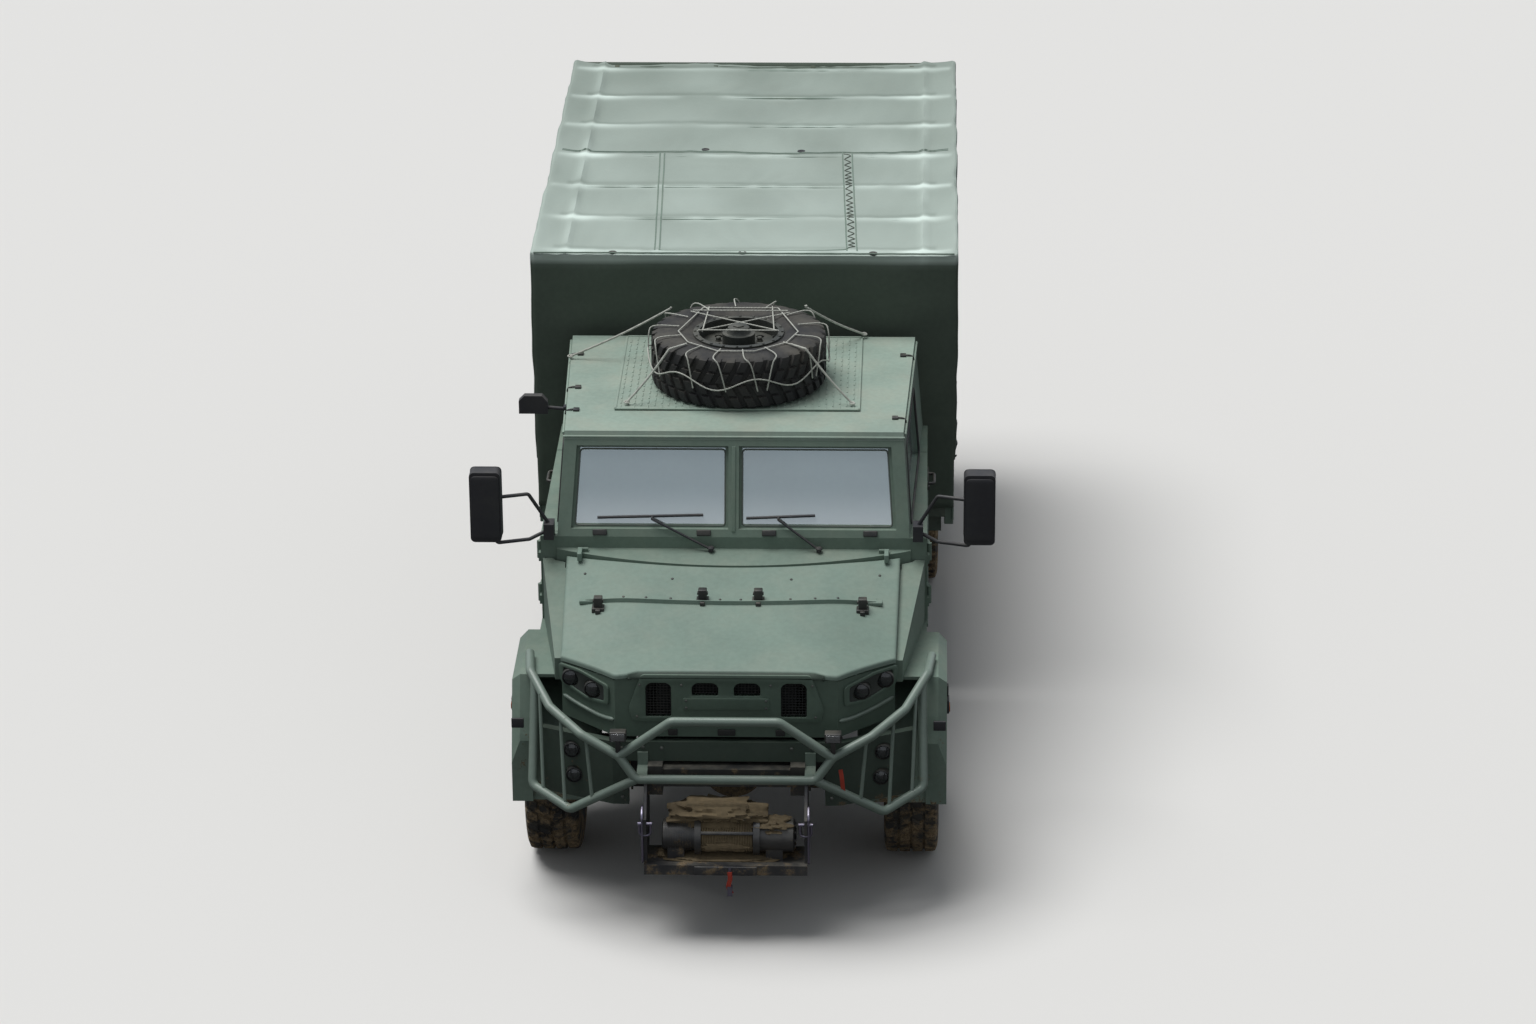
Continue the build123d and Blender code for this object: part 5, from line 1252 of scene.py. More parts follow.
def lumps(lo, hi, seed, rough=0.35, count=26):
    """A heap of mud: a flattened dome whose radius is broken by waves in two directions."""
    lo, hi = np.array(lo), np.array(hi)
    u, v = np.meshgrid(np.linspace(0, np.pi, count), np.linspace(0, 2 * np.pi, count * 2, endpoint=False),
                       indexing="ij")
    broken = 0.55 * waves(u * 2, np.sin(v) * 1.5, seed, 1.6)
    broken = broken + 0.4 * waves(np.cos(v) * 2, u * 2, seed + 1, 0.8)
    r = 1 + rough * broken * np.sin(u)
    unit = np.stack([np.sin(u) * np.cos(v), np.sin(u) * np.sin(v), np.cos(u)], -1)
    points = (lo + hi) / 2 + np.clip(unit * r[..., None], -1, 1) * (hi - lo) / 2
    return sheet_shape(points, wrap_cols=True)


def make_winch_trim():
    """Rope wound on the drum, ribbed motor end, straps, the mud heap and the hook's red strap."""
    y, z = WINCH_Y, WINCH_Z
    coils = 20
    t = np.linspace(0, 1, 8 * (coils + 1) + 1)
    x = -0.118 + 0.246 * t
    profile = np.stack([x, 0.078 + 0.0055 * np.abs(np.sin(np.pi * t * coils))], 1)
    drum = revolve([(-0.118, 0.07)] + profile.tolist() + [(0.128, 0.07)], 40, (0, y, z), ACROSS)
    add_piece("winch_rope", drum, "mud_clods")
    fins = [revolve([(a, 0.0742), (a, 0.0785), (a + 0.004, 0.0785), (a + 0.004, 0.0742)], 36, (0, y, z),
                    ACROSS)
            for a in np.arange(-0.292, -0.165, 0.012)]
    fins.append(revolve([(-0.3005, 0), (-0.3065, 0.03), (-0.3055, 0.062), (-0.3005, 0.074)], 36, (0, y, z),
                        ACROSS))
    fins.append(revolve([(0.322, 0.078), (0.328, 0.07), (0.329, 0.04), (0.334, 0.034), (0.334, 0)], 36,
                        (0, y, z), ACROSS))
    gear = xyz(0.3275, *circle(10, 0.062)) + np.array([0, y, z])
    fins.append(bolts(gear, (1, 0, 0), 0.006, 0.006))
    add_piece("winch_motor_fins", fins, "winch_black", "truck")
    tie = tube(even([(-0.118, y - 0.082, z + 0.045), (0.13, y - 0.082, z + 0.045)], 0.05), 0.009, 8)
    add_piece("winch_ties", tie, "winch_black", "truck")
    heap = join(lumps((-0.285, -1.01, 0.545), (0.2, -0.8, 0.668), 5),
                lumps((-0.17, -1.022, 0.44), (0.16, -0.93, 0.525), 8),
                lumps((0.12, -1.012, 0.52), (0.325, -0.86, 0.592), 14),
                lumps((-0.33, -1.03, 0.388), (0.3, -0.86, 0.412), 17, 0.2))
    add_piece("winch_mud", heap, "mud_clods")
    guide = block((-0.15, -1.0795, 0.352), (0.15, -1.0705, 0.398), 0.004)
    add_piece("rope_guide", guide, "winch_black", "truck")
    red = strap(curve([(0.02, -1.0895, 0.375), (0.022, -1.0915, 0.34), (0.014, -1.0905, 0.3),
                       (0.028, -1.0895, 0.262)], 8),
                0.022, 0.003, (1, 0, 0.1))
    red2 = strap(curve([(0.545, -0.9325, 0.845), (0.552, -0.9395, 0.8), (0.556, -0.93, 0.75),
                        (0.56, -0.925, 0.705)], 8),
                 0.02, 0.003, (1, 0, 0.2))
    add_piece("red_straps", join(red, red2), "red_webbing")
    cheek = rounded([(-1.066, 0.405), (-0.99, 0.405), (-0.95, 0.5), (-0.95, 0.6), (-1.0, 0.69),
                     (-1.066, 0.655)], 0.02)
    cheek = plate([cheek], 0.01, 0.002, (0.3955, 0, 0), LOOKS_LEFT)
    add_piece("winch_side_plates", both(cheek), "zinc_steel", "truck")


# ---- Cab outside


def make_glazing():
    """Rubber seals round each windscreen pane, the post strip and four blocks on the lower rail."""
    head = 2.01
    lean = np.array([0, SCREEN_LEAN, SCREEN_RISE]) / math.hypot(SCREEN_LEAN, SCREEN_RISE)
    seals, blocks_ = [], []

    def on_screen(x, z, out=0.0):
        return (x, screen_y(z) - out * lean[2], z + out * lean[1])

    for s in (-1, 1):
        z0, z1 = SILL_Z + 0.052, head - 0.044
        low = half_width(screen_y(z0), z0) - 0.082
        high = half_width(screen_y(z1), z1) - 0.082
        loop = [on_screen(s * a, b, -0.0245) for a, b in ((0.042, z0), (low, z0), (high, z1), (0.042, z1))]
        seals.append(tube(bent(loop, 0.02, 5, closed=True), 0.0045, 8, closed=True))
    turn = np.stack([(1, 0, 0), (0, lean[2], -lean[1]), lean], 1)
    post = moved(block((-0.01, -0.003, 0), (0.01, 0.004, 0.42), 0.003), on_screen(0, 1.585, 0.001), turn)
    for x in (-0.657, -0.146, 0.175, 0.672):
        blocks_.append(moved(block((-0.035, -0.012, 0), (0.035, 0.004, 0.03), 0.005),
                             on_screen(x, 1.566, 0.0), turn))
    add_piece("screen_seals", seals, "grey_seal")
    add_piece("screen_post_strip", post, "green_paint", "truck")
    add_piece("screen_blocks", blocks_, "black_steel")
    caps = [revolve([(0, 0.017), (0.006, 0.017), (0.012, 0.012), (0.014, 0)], 16, (x, 0.172, 1.509))
            for x in (-0.11, 0.42)]
    add_piece("wiper_caps", caps, "black_plastic")


def make_mirrors():
    """Mirror panes on the rear faces, their housings' ribs and arm clamps."""
    x0, x1 = 1.14, 1.268
    glass = plate([rect(x0, x1, 1.7, 1.932, 0.02)], 0.004, 0.001, (0, 0.1525, 0), LOOKS_FRONT)
    wide = plate([rect(x0, x1, 1.594, 1.686, 0.02)], 0.004, 0.001, (0, 0.1525, 0), LOOKS_FRONT)
    add_piece("mirror_panes", both(glass, wide), "mirror_silver")
    frame_ = plate([rect(1.1285, 1.2795, 1.5805, 1.9445, 0.024), rect(1.138, 1.27, 1.698, 1.934, 0.02),
                    rect(1.138, 1.27, 1.592, 1.688, 0.02)], 0.008, 0.002, (0, 0.1515, 0), LOOKS_FRONT)
    shell = plate([rect(x0, x1, 1.6, 1.925, 0.02)], 0.01, 0.004, (0, 0.0665, 0), LOOKS_FRONT)
    clamp = [revolve([(-0.02, 0.014), (0.02, 0.014)], 12, (1.16, 0.11, h), (0, 0, 1)) for h in (1.625, 1.79)]
    add_piece("mirror_frames", both(frame_, shell, *clamp), "black_plastic")
    kerb = plate([rect(-1.074, -0.946, 2.02, 2.068, 0.012)], 0.004, 0.001, (0, 0.7315, 0), LOOKS_FRONT)
    add_piece("kerb_mirror_pane", kerb, "mirror_silver")


def make_doors():
    """Window seals, handles, hinge bolts and pressed panels on both doors, and cab side trim."""
    head, frame_w = 2.004, 0.062
    slope = screen_y(head - frame_w) - screen_y(SILL_Z)
    window = [(0.32, 1.58), (1.268, 1.58), (1.268, 1.942), (0.316 + slope + 0.014, 1.942)]
    for name, s in (("left", 1), ("right", -1)):
        body = "door_" + name + "_body"

        def on_side(y, z, out=0.0):
            return (s * (half_width(y, z) + out), y, z)

        seal = tube(bent([on_side(y, z, 0.001) for y, z in window], 0.03, 5, True), 0.006, 8, closed=True)
        add_piece("door_seal_" + name, seal, "seal_rubber", body)
        outer = rounded([(0.6, 0.955), (1.27, 0.955), (1.27, 1.42), (0.4, 1.42), (0.4, 1.17)], 0.05, 6)
        mid = outer.mean(0)
        rib = plate([outer, mid + (outer - mid) * 0.93], 0.008, 0.003, (DOOR_X - 0.0005, 0, 0), LOOKS_LEFT)
        rub = block((0.949, 0.58, 0.915), (0.958, 1.31, 0.935), 0.003)
        shape = join(rib, rub)
        add_piece("door_pressing_" + name, sided(shape, s), "green_paint", body)
        pull = tube(bent([(DOOR_X, 1.12, 1.475), (0.985, 1.12, 1.475), (0.985, 1.25, 1.475),
                          (DOOR_X, 1.25, 1.475)], 0.02, 5), 0.008, 10)
        base = plate([rect(1.09, 1.28, 1.445, 1.505, 0.02)], 0.006, 0.002, (DOOR_X + 0.002, 0, 0), LOOKS_LEFT)
        lock = revolve([(0, 0.012), (0.006, 0.012), (0.008, 0.009), (0.008, 0)], 18, (0.955, 1.185, 1.425),
                       ACROSS)
        shape = join(pull, base, lock)
        add_piece("door_handle_" + name, sided(shape, s), "black_steel", body)
        heads = [(0.962, 0.261 + 0.03, z + 0.0455 + d) for z in (1.19, 1.42) for d in (0.011, 0.034)]
        heads = bolts(heads, (1, 0, 0), 0.005, 0.004)
        add_piece("hinge_bolts_" + name, sided(heads, s), "bolt_steel", body)
    trim = [
        block((0.949, 1.4, 0.9), (0.956, 1.62, 0.915), 0.002),
        plate([rect(1.43, 1.61, 1.00, 1.16, 0.02), rect(1.445, 1.595, 1.015, 1.145, 0.015)], 0.008, 0.002,
              (DOOR_X, 0, 0), LOOKS_LEFT),
    ]
    vents = [moved(block((-0.003, -0.07, -0.006), (0.006, 0.07, 0.006), 0.003), (DOOR_X, 1.52, z))
             for z in np.arange(1.03, 1.14, 0.022)]
    add_piece("quarter_vents", both(*trim, *vents), "green_paint", "truck")
    step = [
        tube(bent([(0.86, 0.7, 0.8), (0.9, 0.7, 0.5), (0.9, 1.24, 0.5), (0.86, 1.24, 0.8)], 0.05, 5), 0.014,
             10),
        plate([rect(0.71, 1.23, 0.8, 0.93, 0.02)], 0.01, 0.002, (0, 0, 0.512), LOOKS_DOWN),
        tube([(0.86, 0.72, 0.79), (0.8, 0.74, 0.516)], 0.01, 8),
        tube([(0.86, 1.22, 0.79), (0.8, 1.2, 0.516)], 0.01, 8),
        block((0.8, 0.68, 0.775), (0.9, 1.26, 0.818), 0.004),
    ]
    add_piece("cab_steps", both(*step), "chassis_black", "truck")


# ---- Cab inside


def make_dash():
    """Instrument hood with three blank dials, vents, switches, gear lever and pedals."""
    hood_ = block((0.24, 0.42, 1.492), (0.66, 0.5, 1.56), 0.02)
    dials, marks, knobs = [], [], []
    for x in (0.32, 0.45, 0.58):
        c = (x, 0.5015, 1.524)
        dials.append(revolve([(0, 0.03), (0.004, 0.03), (0.005, 0.027), (0.002, 0.0265)], 28, c, ALONG))
        a = np.radians(np.arange(-120, 121, 30))
        for q in a:
            p = np.array([x + 0.021 * math.sin(q), 0.5028, 1.524 + 0.021 * math.cos(q)])
            marks.append(block(p - 0.0012, p + 0.0012, 0.0003, 1))
        needle = [(x, 0.5035, 1.524), (x - 0.013, 0.5035, 1.512)]
        marks.append(tube(needle, 0.0012, 5))
    add_piece("dial_hood", join(hood_, *dials), "dash_plastic", "truck")
    add_piece("dial_marks", marks, "white_marks")
    for x in (-0.62, -0.3, 0.0, 0.1):
        for z in (1.35, 1.372, 1.394):
            knobs.append(block((x - 0.06, 0.455 + (z - 1.3) * 0.26, z),
                               (x + 0.06, 0.475 + (z - 1.3) * 0.26, z + 0.008), 0.002, 1))
    for x in np.arange(-0.12, 0.14, 0.04):
        knobs.append(block((x, 0.455, 1.3), (x + 0.02, 0.474, 1.325), 0.003, 1))
    lever = [tube(curve([(0.05, 0.8, 1.048), (0.055, 0.79, 1.15), (0.06, 0.76, 1.27)], 6), 0.008, 8),
             revolve([(-0.028, 0), (-0.022, 0.016), (0.0, 0.024), (0.018, 0.018), (0.026, 0)], 20,
                     (0.06, 0.755, 1.285)),
             revolve([(0, 0.06), (0.02, 0.045), (0.035, 0.022), (0.05, 0.01)], 20, (0.05, 0.8, 1.049)),
             tube([(-0.06, 0.86, 1.048), (-0.06, 0.84, 1.16)], 0.006, 8),
             revolve([(-0.016, 0), (-0.012, 0.01), (0.0, 0.014), (0.012, 0.01), (0.016, 0)], 16,
                     (-0.06, 0.838, 1.172))]
    pedals = []
    for x in (0.33, 0.43, 0.55):
        pedals.append(block((x - 0.03, 0.3, 0.985), (x + 0.03, 0.312, 1.06), 0.004))
        pedals.append(tube([(x, 0.305, 1.04), (x, 0.2, 1.16), (x, 0.165, 1.22)], 0.007, 8))
    add_piece("dash_controls", join(*knobs, *lever, *pedals), "black_plastic", "truck")


def pad_shape(lo, hi, n=(34, 34), crown=0.02, pull=0.014):
    """A stuffed pad: a box grid whose top and bottom swell as the product of two cosines, and whose
    sides pull in between the corners."""
    lo, hi = np.array(lo, float), np.array(hi, float)
    mid, half = (lo + hi) / 2, (hi - lo) / 2
    shapes = []
    for k in range(3):
        i, j = (k + 1) % 3, (k + 2) % 3
        for end in (-1, 1):
            u, v = np.meshgrid(np.linspace(-1, 1, n[0]), np.linspace(-1, 1, n[1]), indexing="ij")
            p = np.zeros(u.shape + (3,))
            p[..., i], p[..., j], p[..., k] = u, v, end
            r = 0.2
            core = np.clip(p, -1 + r, 1 - r)
            out = p - core
            p = core + r * out / np.maximum(np.linalg.norm(out, axis=-1, keepdims=True), 1e-9)
            shape = sheet_shape(p)
            shapes.append(shape if end < 0 else inside_out(shape))
    points, faces = join(*shapes)
    x, y, z = points.T
    swell = np.cos(x * np.pi / 2 * 0.9) * np.cos(y * np.pi / 2 * 0.9)
    points = points * (half - np.array([0, 0, crown]))
    points[:, 2] += np.sign(z) * crown * swell * (z > -0.5)
    points[:, 0] -= np.sign(x) * pull * (1 - y ** 2) * np.abs(x) ** 4
    points[:, 1] -= np.sign(y) * pull * (1 - x ** 2) * np.abs(y) ** 4
    return points + mid, faces


def puff(piece, frames=16, reach=0.012, pressure=3.5):
    """Swells a pad as stuffed cloth: remesh, cloth under pressure with no gravity, a cap on how far
    any point may move, and the result kept as the mesh."""
    scene = bpy.context.scene
    rest = piece.data.copy()
    work = bpy.data.objects.new("puff", rest)
    scene.collection.objects.link(work)
    remesh = work.modifiers.new("even", "REMESH")
    remesh.mode, remesh.voxel_size = "VOXEL", 0.009
    graph = bpy.context.evaluated_depsgraph_get()
    evenly = bpy.data.meshes.new_from_object(work.evaluated_get(graph))
    work.modifiers.clear()
    work.data = evenly
    before = read_mesh(evenly)
    cloth = work.modifiers.new("cloth", "CLOTH")
    s = cloth.settings
    s.quality, s.mass = 5, 0.3
    s.tension_stiffness = s.compression_stiffness = 25
    s.bending_stiffness = 4
    s.use_pressure, s.uniform_pressure_force = True, pressure
    s.effector_weights.gravity = 0
    cloth.point_cache.frame_start, cloth.point_cache.frame_end = 1, frames
    for step in range(1, frames + 1):
        scene.frame_set(step)
    graph = bpy.context.evaluated_depsgraph_get()
    done = bpy.data.meshes.new_from_object(work.evaluated_get(graph))
    move = read_mesh(done) - before
    size = np.linalg.norm(move, axis=1, keepdims=True)
    move = move * np.minimum(1, reach / np.maximum(size, 1e-9))
    done.vertices.foreach_set("co", (before + move).ravel())
    done.polygons.foreach_set("use_smooth", np.ones(len(done.polygons), bool))
    done.materials.clear()
    for material in rest.materials:
        done.materials.append(material)
    piece.data = done
    bpy.data.objects.remove(work)
    scene.frame_set(1)


def make_seats():
    """Two seats: padded cushion and back with sewn channels, and belt with its fittings."""
    for name, s in (("left", 1), ("right", -1)):
        lean = math.atan2(0.11, 0.68)
        turn = np.stack([(1, 0, 0), (0, math.sin(lean), math.cos(lean)),
                         (0, -math.cos(lean), math.sin(lean))], 1)
        x0, x1 = 0.27, 0.73
        cushion = pad_shape((x0, 0.77, 1.108), (x1, 1.24, 1.226), crown=0.016)
        back = pad_shape((-0.225, -0.31, -0.042), (0.225, 0.33, 0.042), crown=0.012)
        back = moved(back, (0.5, 1.37, 1.45), turn)
        for part, shape, row in (("cushion", cushion, (1, 0.92, 1.08)), ("back", back, (2, 1.32, 1.52))):
            shape = sided(shape, s)
            piece = add_piece("seat_%s_%s" % (part, name), shape, "seat_cloth", "truck",
                              ["seats"] if part == "cushion" and s > 0 else ())
            puff(piece)
            sink_channels(piece, s, row)
            if part == "cushion" and s < 0:
                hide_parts("seats")
        path = np.array([(0.7, 1.652, 1.862), (0.66, 1.5, 1.838), (0.63, 1.4, 1.824), (0.615, 1.345, 1.79),
                         (0.6, 1.335, 1.72), (0.55, 1.311, 1.58), (0.5, 1.291, 1.45), (0.42, 1.273, 1.33),
                         (0.35, 1.258, 1.272)]) * np.array([s, 1, 1])
        belt = strap(curve(path.tolist(), 8), 0.046, 0.0018, (1, 0, 0.25 * s))
        add_piece("seat_belt_" + name, belt, "black_cord")
        anchor = block((s * 0.67, 1.648, 1.835), (s * 0.73, 1.6595, 1.885), 0.004)
        buckle = block((s * 0.322, 1.248, 1.256), (s * 0.378, 1.268, 1.3), 0.005)
        add_piece("belt_fittings_" + name, join(anchor, buckle), "black_steel")


def sink_channels(piece, side, row):
    """Channels across a seat pad at even places, and two along it, after the cloth has swollen."""
    points, normals = read_mesh(piece.data), read_mesh(piece.data, "normal")
    axis, first, second = row
    shift = AXLE_Y if axis == 1 else 0.0
    sink = sum(np.exp(-((points[:, axis] - at - shift) / 0.009) ** 2)
               for at in (first, (first + second) / 2, second))
    sink = sink + sum(np.exp(-((points[:, 0] - side * at) / 0.009) ** 2) for at in (0.37, 0.63))
    points -= 0.006 * np.minimum(sink, 1.0)[:, None] * normals
    piece.data.vertices.foreach_set("co", points.ravel())
    piece.data.update()


# ---- Load bed and rear


def make_deck():
    """Floor boards with open joints between them, and lashing rings on plates along both sides."""
    starts = np.arange(9) * 0.228 - 1.026
    boards = [block((x + 0.002, 1.88, 1.0398), (x + 0.226, 5.03, 1.0425), 0.0012, 1) for x in starts]
    add_piece("deck_boards", boards, "deck_wood")
    rings = []
    for x in (-0.96, 0.96):
        for y in (2.15, 3.0, 3.85, 4.7):
            loop = xyz(*circle(24, 0.028), 1.0485) + np.array([x, y, 0])
            rings.append(tube(loop, 0.0045, 8, closed=True))
            rings.append(block((x - 0.045, y - 0.045, 1.0415), (x + 0.045, y + 0.045, 1.0445), 0.0012, 1))
            rings.append(block((x - 0.036, y - 0.01, 1.044), (x - 0.02, y + 0.01, 1.053), 0.002, 1))
    add_piece("lashing_rings", rings, "bolt_steel")


def make_board_trim():
    """Pressed ribs, corner posts and reflectors of the side boards, and the deck's edge rail."""
    ribs = []
    for z in (1.06, 1.17, 1.28):
        ribs.append(block((BOARD_X, 1.86, z - 0.022), (1.0865, 5.0, z + 0.022), 0.006))
    for y in (1.835, 2.615, 3.395, 4.175, 4.955):
        ribs.append(block((BOARD_X, y - 0.028, 0.985), (1.09, y + 0.028, 1.325), 0.004))
    ribs.append(block((1.04, 1.815, 0.958), (1.088, 5.038, 0.984), 0.004))
    add_piece("board_ribs", both(*ribs), "green_paint", "truck")
    marks = [block((1.086, y - 0.045, 0.96), (1.0925, y + 0.045, 0.982), 0.003) for y in (2.2, 3.4, 4.6)]
    add_piece("side_reflectors", both(*marks), "amber_lens")
    latch = [block((1.088, 4.99, 1.22), (1.098, 5.03, 1.31), 0.004),
             tube(bent([(1.096, 5.01, 1.3), (1.105, 5.01, 1.27), (1.105, 5.01, 1.18)], 0.01, 4), 0.006, 8)]
    add_piece("board_latches", both(*latch), "black_steel")


def make_gate_trim():
    """Ribs, chain hooks, catches and the bare plate on the tailgate and the bar below it."""
    ribs = []
    for z0, z1 in ((1.205, 1.235), (1.345, 1.375), (1.065, 1.095)):
        ribs.append(block((-1.02, GATE_Y, z0), (1.02, 5.0865, z1), 0.005))
    for x in (-0.9, -0.45, 0.0, 0.45, 0.9):
        ribs.append(block((x - 0.022, GATE_Y, 1.02), (x + 0.022, 5.0855, 1.43), 0.005))
    add_piece("gate_ribs", ribs, "green_paint", "tailgate_body")
    catch = []
    for s in (-1, 1):
        catch.append(block((s * 0.955, GATE_Y, 1.355), (s * 1.03, 5.094, 1.415), 0.005))
        catch.append(tube(bent([(s * 0.965, 5.092, 1.385), (s * 0.965, 5.101, 1.385),
                                (s * 0.965, 5.101, 1.28)], 0.008, 4), 0.006, 8))
    add_piece("gate_catches", catch, "black_steel", "tailgate_body")
    plate_ = plate([rect(-0.26, 0.26, 0.57, 0.65, 0.012)], 0.004, 0.001, (0, 4.9925, 0), LOOKS_REAR)
    add_piece("bare_number_plate", plate_, "bare_plate")


def make_tail_lamps():
    """Rear lamp clusters in place of their plain solids: housing with three round lenses."""
    case = block((0.762, 4.942, 0.872), (0.998, 4.992, 0.998), 0.01)
    add_piece("tail_lamp_cases", both(case), "black_plastic", "truck", ["tail_lamps"])
    for name, x, colour in (("stop", 0.808, "red_lens"), ("turn", 0.88, "amber_lens"),
                            ("reverse", 0.952, "lamp_glass")):
        at = (x, 4.992, 0.945)
        lens = revolve([(-0.002, 0.0305), (0.003, 0.0305), (0.0055, 0.026), (0.0075, 0.016), (0.008, 0)], 28,
                       at, ALONG)
        ring = revolve([(-0.002, 0.035), (0.003, 0.035), (0.004, 0.031), (0.001, 0.0305)], 28,
                       at, ALONG)
        add_piece("tail_%s_lens" % name, both(lens), colour, "truck")
        add_piece("tail_%s_ring" % name, both(ring), "black_plastic", "truck", closed=False)
    tri = plate([rounded([(0.8, 0.885), (0.84, 0.885), (0.82, 0.915)], 0.004)], 0.004, 0.001, (0, 4.993, 0),
                LOOKS_FRONT)
    add_piece("rear_reflectors", both(tri), "red_lens", "truck")


def make_chassis_trim():
    """Tank straps and filler cap, battery box clasps, spring leaves and U bolts."""
    parts, caps, springs = [], [], []
    for y in (2.0, 2.55):
        loop = [(-0.418, y, 0.478), (-0.862, y, 0.478), (-0.862, y, 0.812), (-0.418, y, 0.812)]
        parts.append(strap(bent(loop, 0.055, 6), 0.04, 0.003, ALONG))
    caps.append(revolve([(-0.01, 0.048), (0.02, 0.048), (0.028, 0.042), (0.028, 0)], 24, (-0.861, 2.3, 0.715),
                        (-1, 0, 0.25)))
    caps.append(block((0.861, 1.93, 0.74), (0.87, 1.99, 0.8), 0.003))
    caps.append(block((0.861, 2.31, 0.74), (0.87, 2.37, 0.8), 0.003))
    caps.append(block((0.859, 1.87, 0.788), (0.866, 2.43, 0.8), 0.002))
    add_piece("tank_straps", parts, "black_steel")
    add_piece("tank_cap_and_clasps", caps, "bolt_steel")
    for y, half in ((0.0, 0.56), (WHEELBASE, 0.62)):
        for x in (SPRING_X - 0.0345, SPRING_X + 0.0345):
            for layer in (0.012, 0.024, 0.036):
                ys = np.linspace(-1, 1, 21)
                reach = (half - 0.03) * (0.62 + 10 * layer / 1.2 * 0.42)
                z = 0.5 + layer + 0.074 * (ys * reach / (half - 0.026)) ** 2
                springs.append(tube(xyz(x, y + ys * reach, z), 0.0022, 5))
        for d in (-0.05, 0.05):
            x0, x1 = SPRING_X - 0.04, SPRING_X + 0.04
            loop = [(x0, y + d, 0.37), (x0, y + d, 0.556), (x1, y + d, 0.556), (x1, y + d, 0.37)]
            springs.append(tube(bent(loop, 0.02, 4), 0.008, 8))
    add_piece("spring_leaves_and_bolts", both(*springs), "chassis_black", "truck")


# ---- Stage


# What the camera sees past the floor, and what gloss and glass reflect
BACKDROP, REFLECTED = (0.775, 0.775, 0.755, 1.0), (0.62, 0.66, 0.72, 1.0)
FLOOR_HALF, BOUNCE = 120, 0.12  # the floor's reach, and the share of its colour that lights the truck
VIEW_PLACE = (0.9275, -21.4772, 10.7391)
VIEW_YAW, VIEW_PITCH, VIEW_ROLL = -0.034905, 0.39505, -0.007485
FILM = 36
VIEW_LENS = 4800 / 1536 * FILM  # the fitted focal length and the photograph's width, both in pixels


def make_stage(look):
    """Pale floor, one soft sun from above and behind on the truck's right, and the camera."""
    scene = bpy.context.scene
    floor = bpy.data.meshes.new("floor")
    corners = [(x * FLOOR_HALF, y * FLOOR_HALF, 0) for x, y in ((-1, -1), (1, -1), (1, 1), (-1, 1))]
    floor.from_pydata(corners, [], [(0, 1, 2, 3)])
    ground = bpy.data.objects.new("floor", floor)
    scene.collection.objects.link(ground)
    pale = bpy.data.materials.new("pale_floor")
    pale.use_nodes = True
    web = Web(pale.node_tree)
    seen = web.add("LightPath").outputs["Is Camera Ray"]
    bounce = tuple(BOUNCE * v for v in look.floor) + (1.0,)
    web.put(pale.node_tree.nodes["Principled BSDF"], {
        "Base Color": web.mix(seen, bounce, tuple(look.floor) + (1.0,)), "Roughness": 0.9})
    floor.materials.append(pale)
    for name, energy, angle, turn in (("sky_sun", look.sun, 40, (-7, -17, 0)),
                                      ("front_fill", look.fill, 60, (62, 0, 12))):
        data = bpy.data.lights.new(name, "SUN")
        data.energy, data.angle = energy, math.radians(angle)
        lamp = bpy.data.objects.new(name, data)
        lamp.rotation_euler = [math.radians(v) for v in turn]
        scene.collection.objects.link(lamp)
    world = bpy.data.worlds.new("studio")
    world.use_nodes = True
    web = Web(world.node_tree)
    path = web.add("LightPath").outputs
    sky = tuple(look.sky * v for v in (0.9, 0.95, 1.0)) + (1.0,)
    shiny = web.mix(path["Is Glossy Ray"], sky, REFLECTED)
    web.put(world.node_tree.nodes["Background"], {
        "Color": web.mix(path["Is Camera Ray"], shiny, BACKDROP), "Strength": 1.0})
    scene.world = world
    ahead = np.array([math.sin(VIEW_YAW) * math.cos(VIEW_PITCH), math.cos(VIEW_YAW) * math.cos(VIEW_PITCH),
                      -math.sin(VIEW_PITCH)])
    right = np.array([math.cos(VIEW_YAW), -math.sin(VIEW_YAW), 0.0])
    up = np.cross(right, ahead)
    c, s = math.cos(VIEW_ROLL), math.sin(VIEW_ROLL)
    right, up = right * c + up * s, up * c - right * s
    data = bpy.data.cameras.new("photo_view")
    data.lens, data.sensor_width, data.clip_end = VIEW_LENS, FILM, 400
    camera = bpy.data.objects.new("photo_view", data)
    place = Matrix(np.stack([right, up, -ahead], 1).tolist()).to_4x4()
    place.translation = np.array(VIEW_PLACE) + np.array([0, AXLE_Y, 0])
    camera.matrix_world = place
    scene.collection.objects.link(camera)
    scene.camera = camera
    scene.view_settings.view_transform = "Standard"


# ---- Add-on


class TruckSizes(bpy.types.PropertyGroup):
    """Sizes of the pieces added to the frame"""

    lugs: bpy.props.IntProperty(name="Tread blocks", description="Blocks round one row of the tread",
                                default=38, min=12)
    tread_depth: bpy.props.FloatProperty(
        name="Tread depth", description="Height of the tread blocks", default=0.0155, unit="LENGTH")
    rope: bpy.props.FloatProperty(
        name="Rope radius", description="Radius of the spare wheel's stays", default=0.006, unit="LENGTH")
    lacing: bpy.props.FloatProperty(
        name="Lacing radius", description="Radius of the cord that laces the hem", default=0.0032,
        unit="LENGTH")
    cover_sag: bpy.props.FloatProperty(
        name="Cover sag", description="How far the roof dips between two bows", default=0.026, unit="LENGTH")


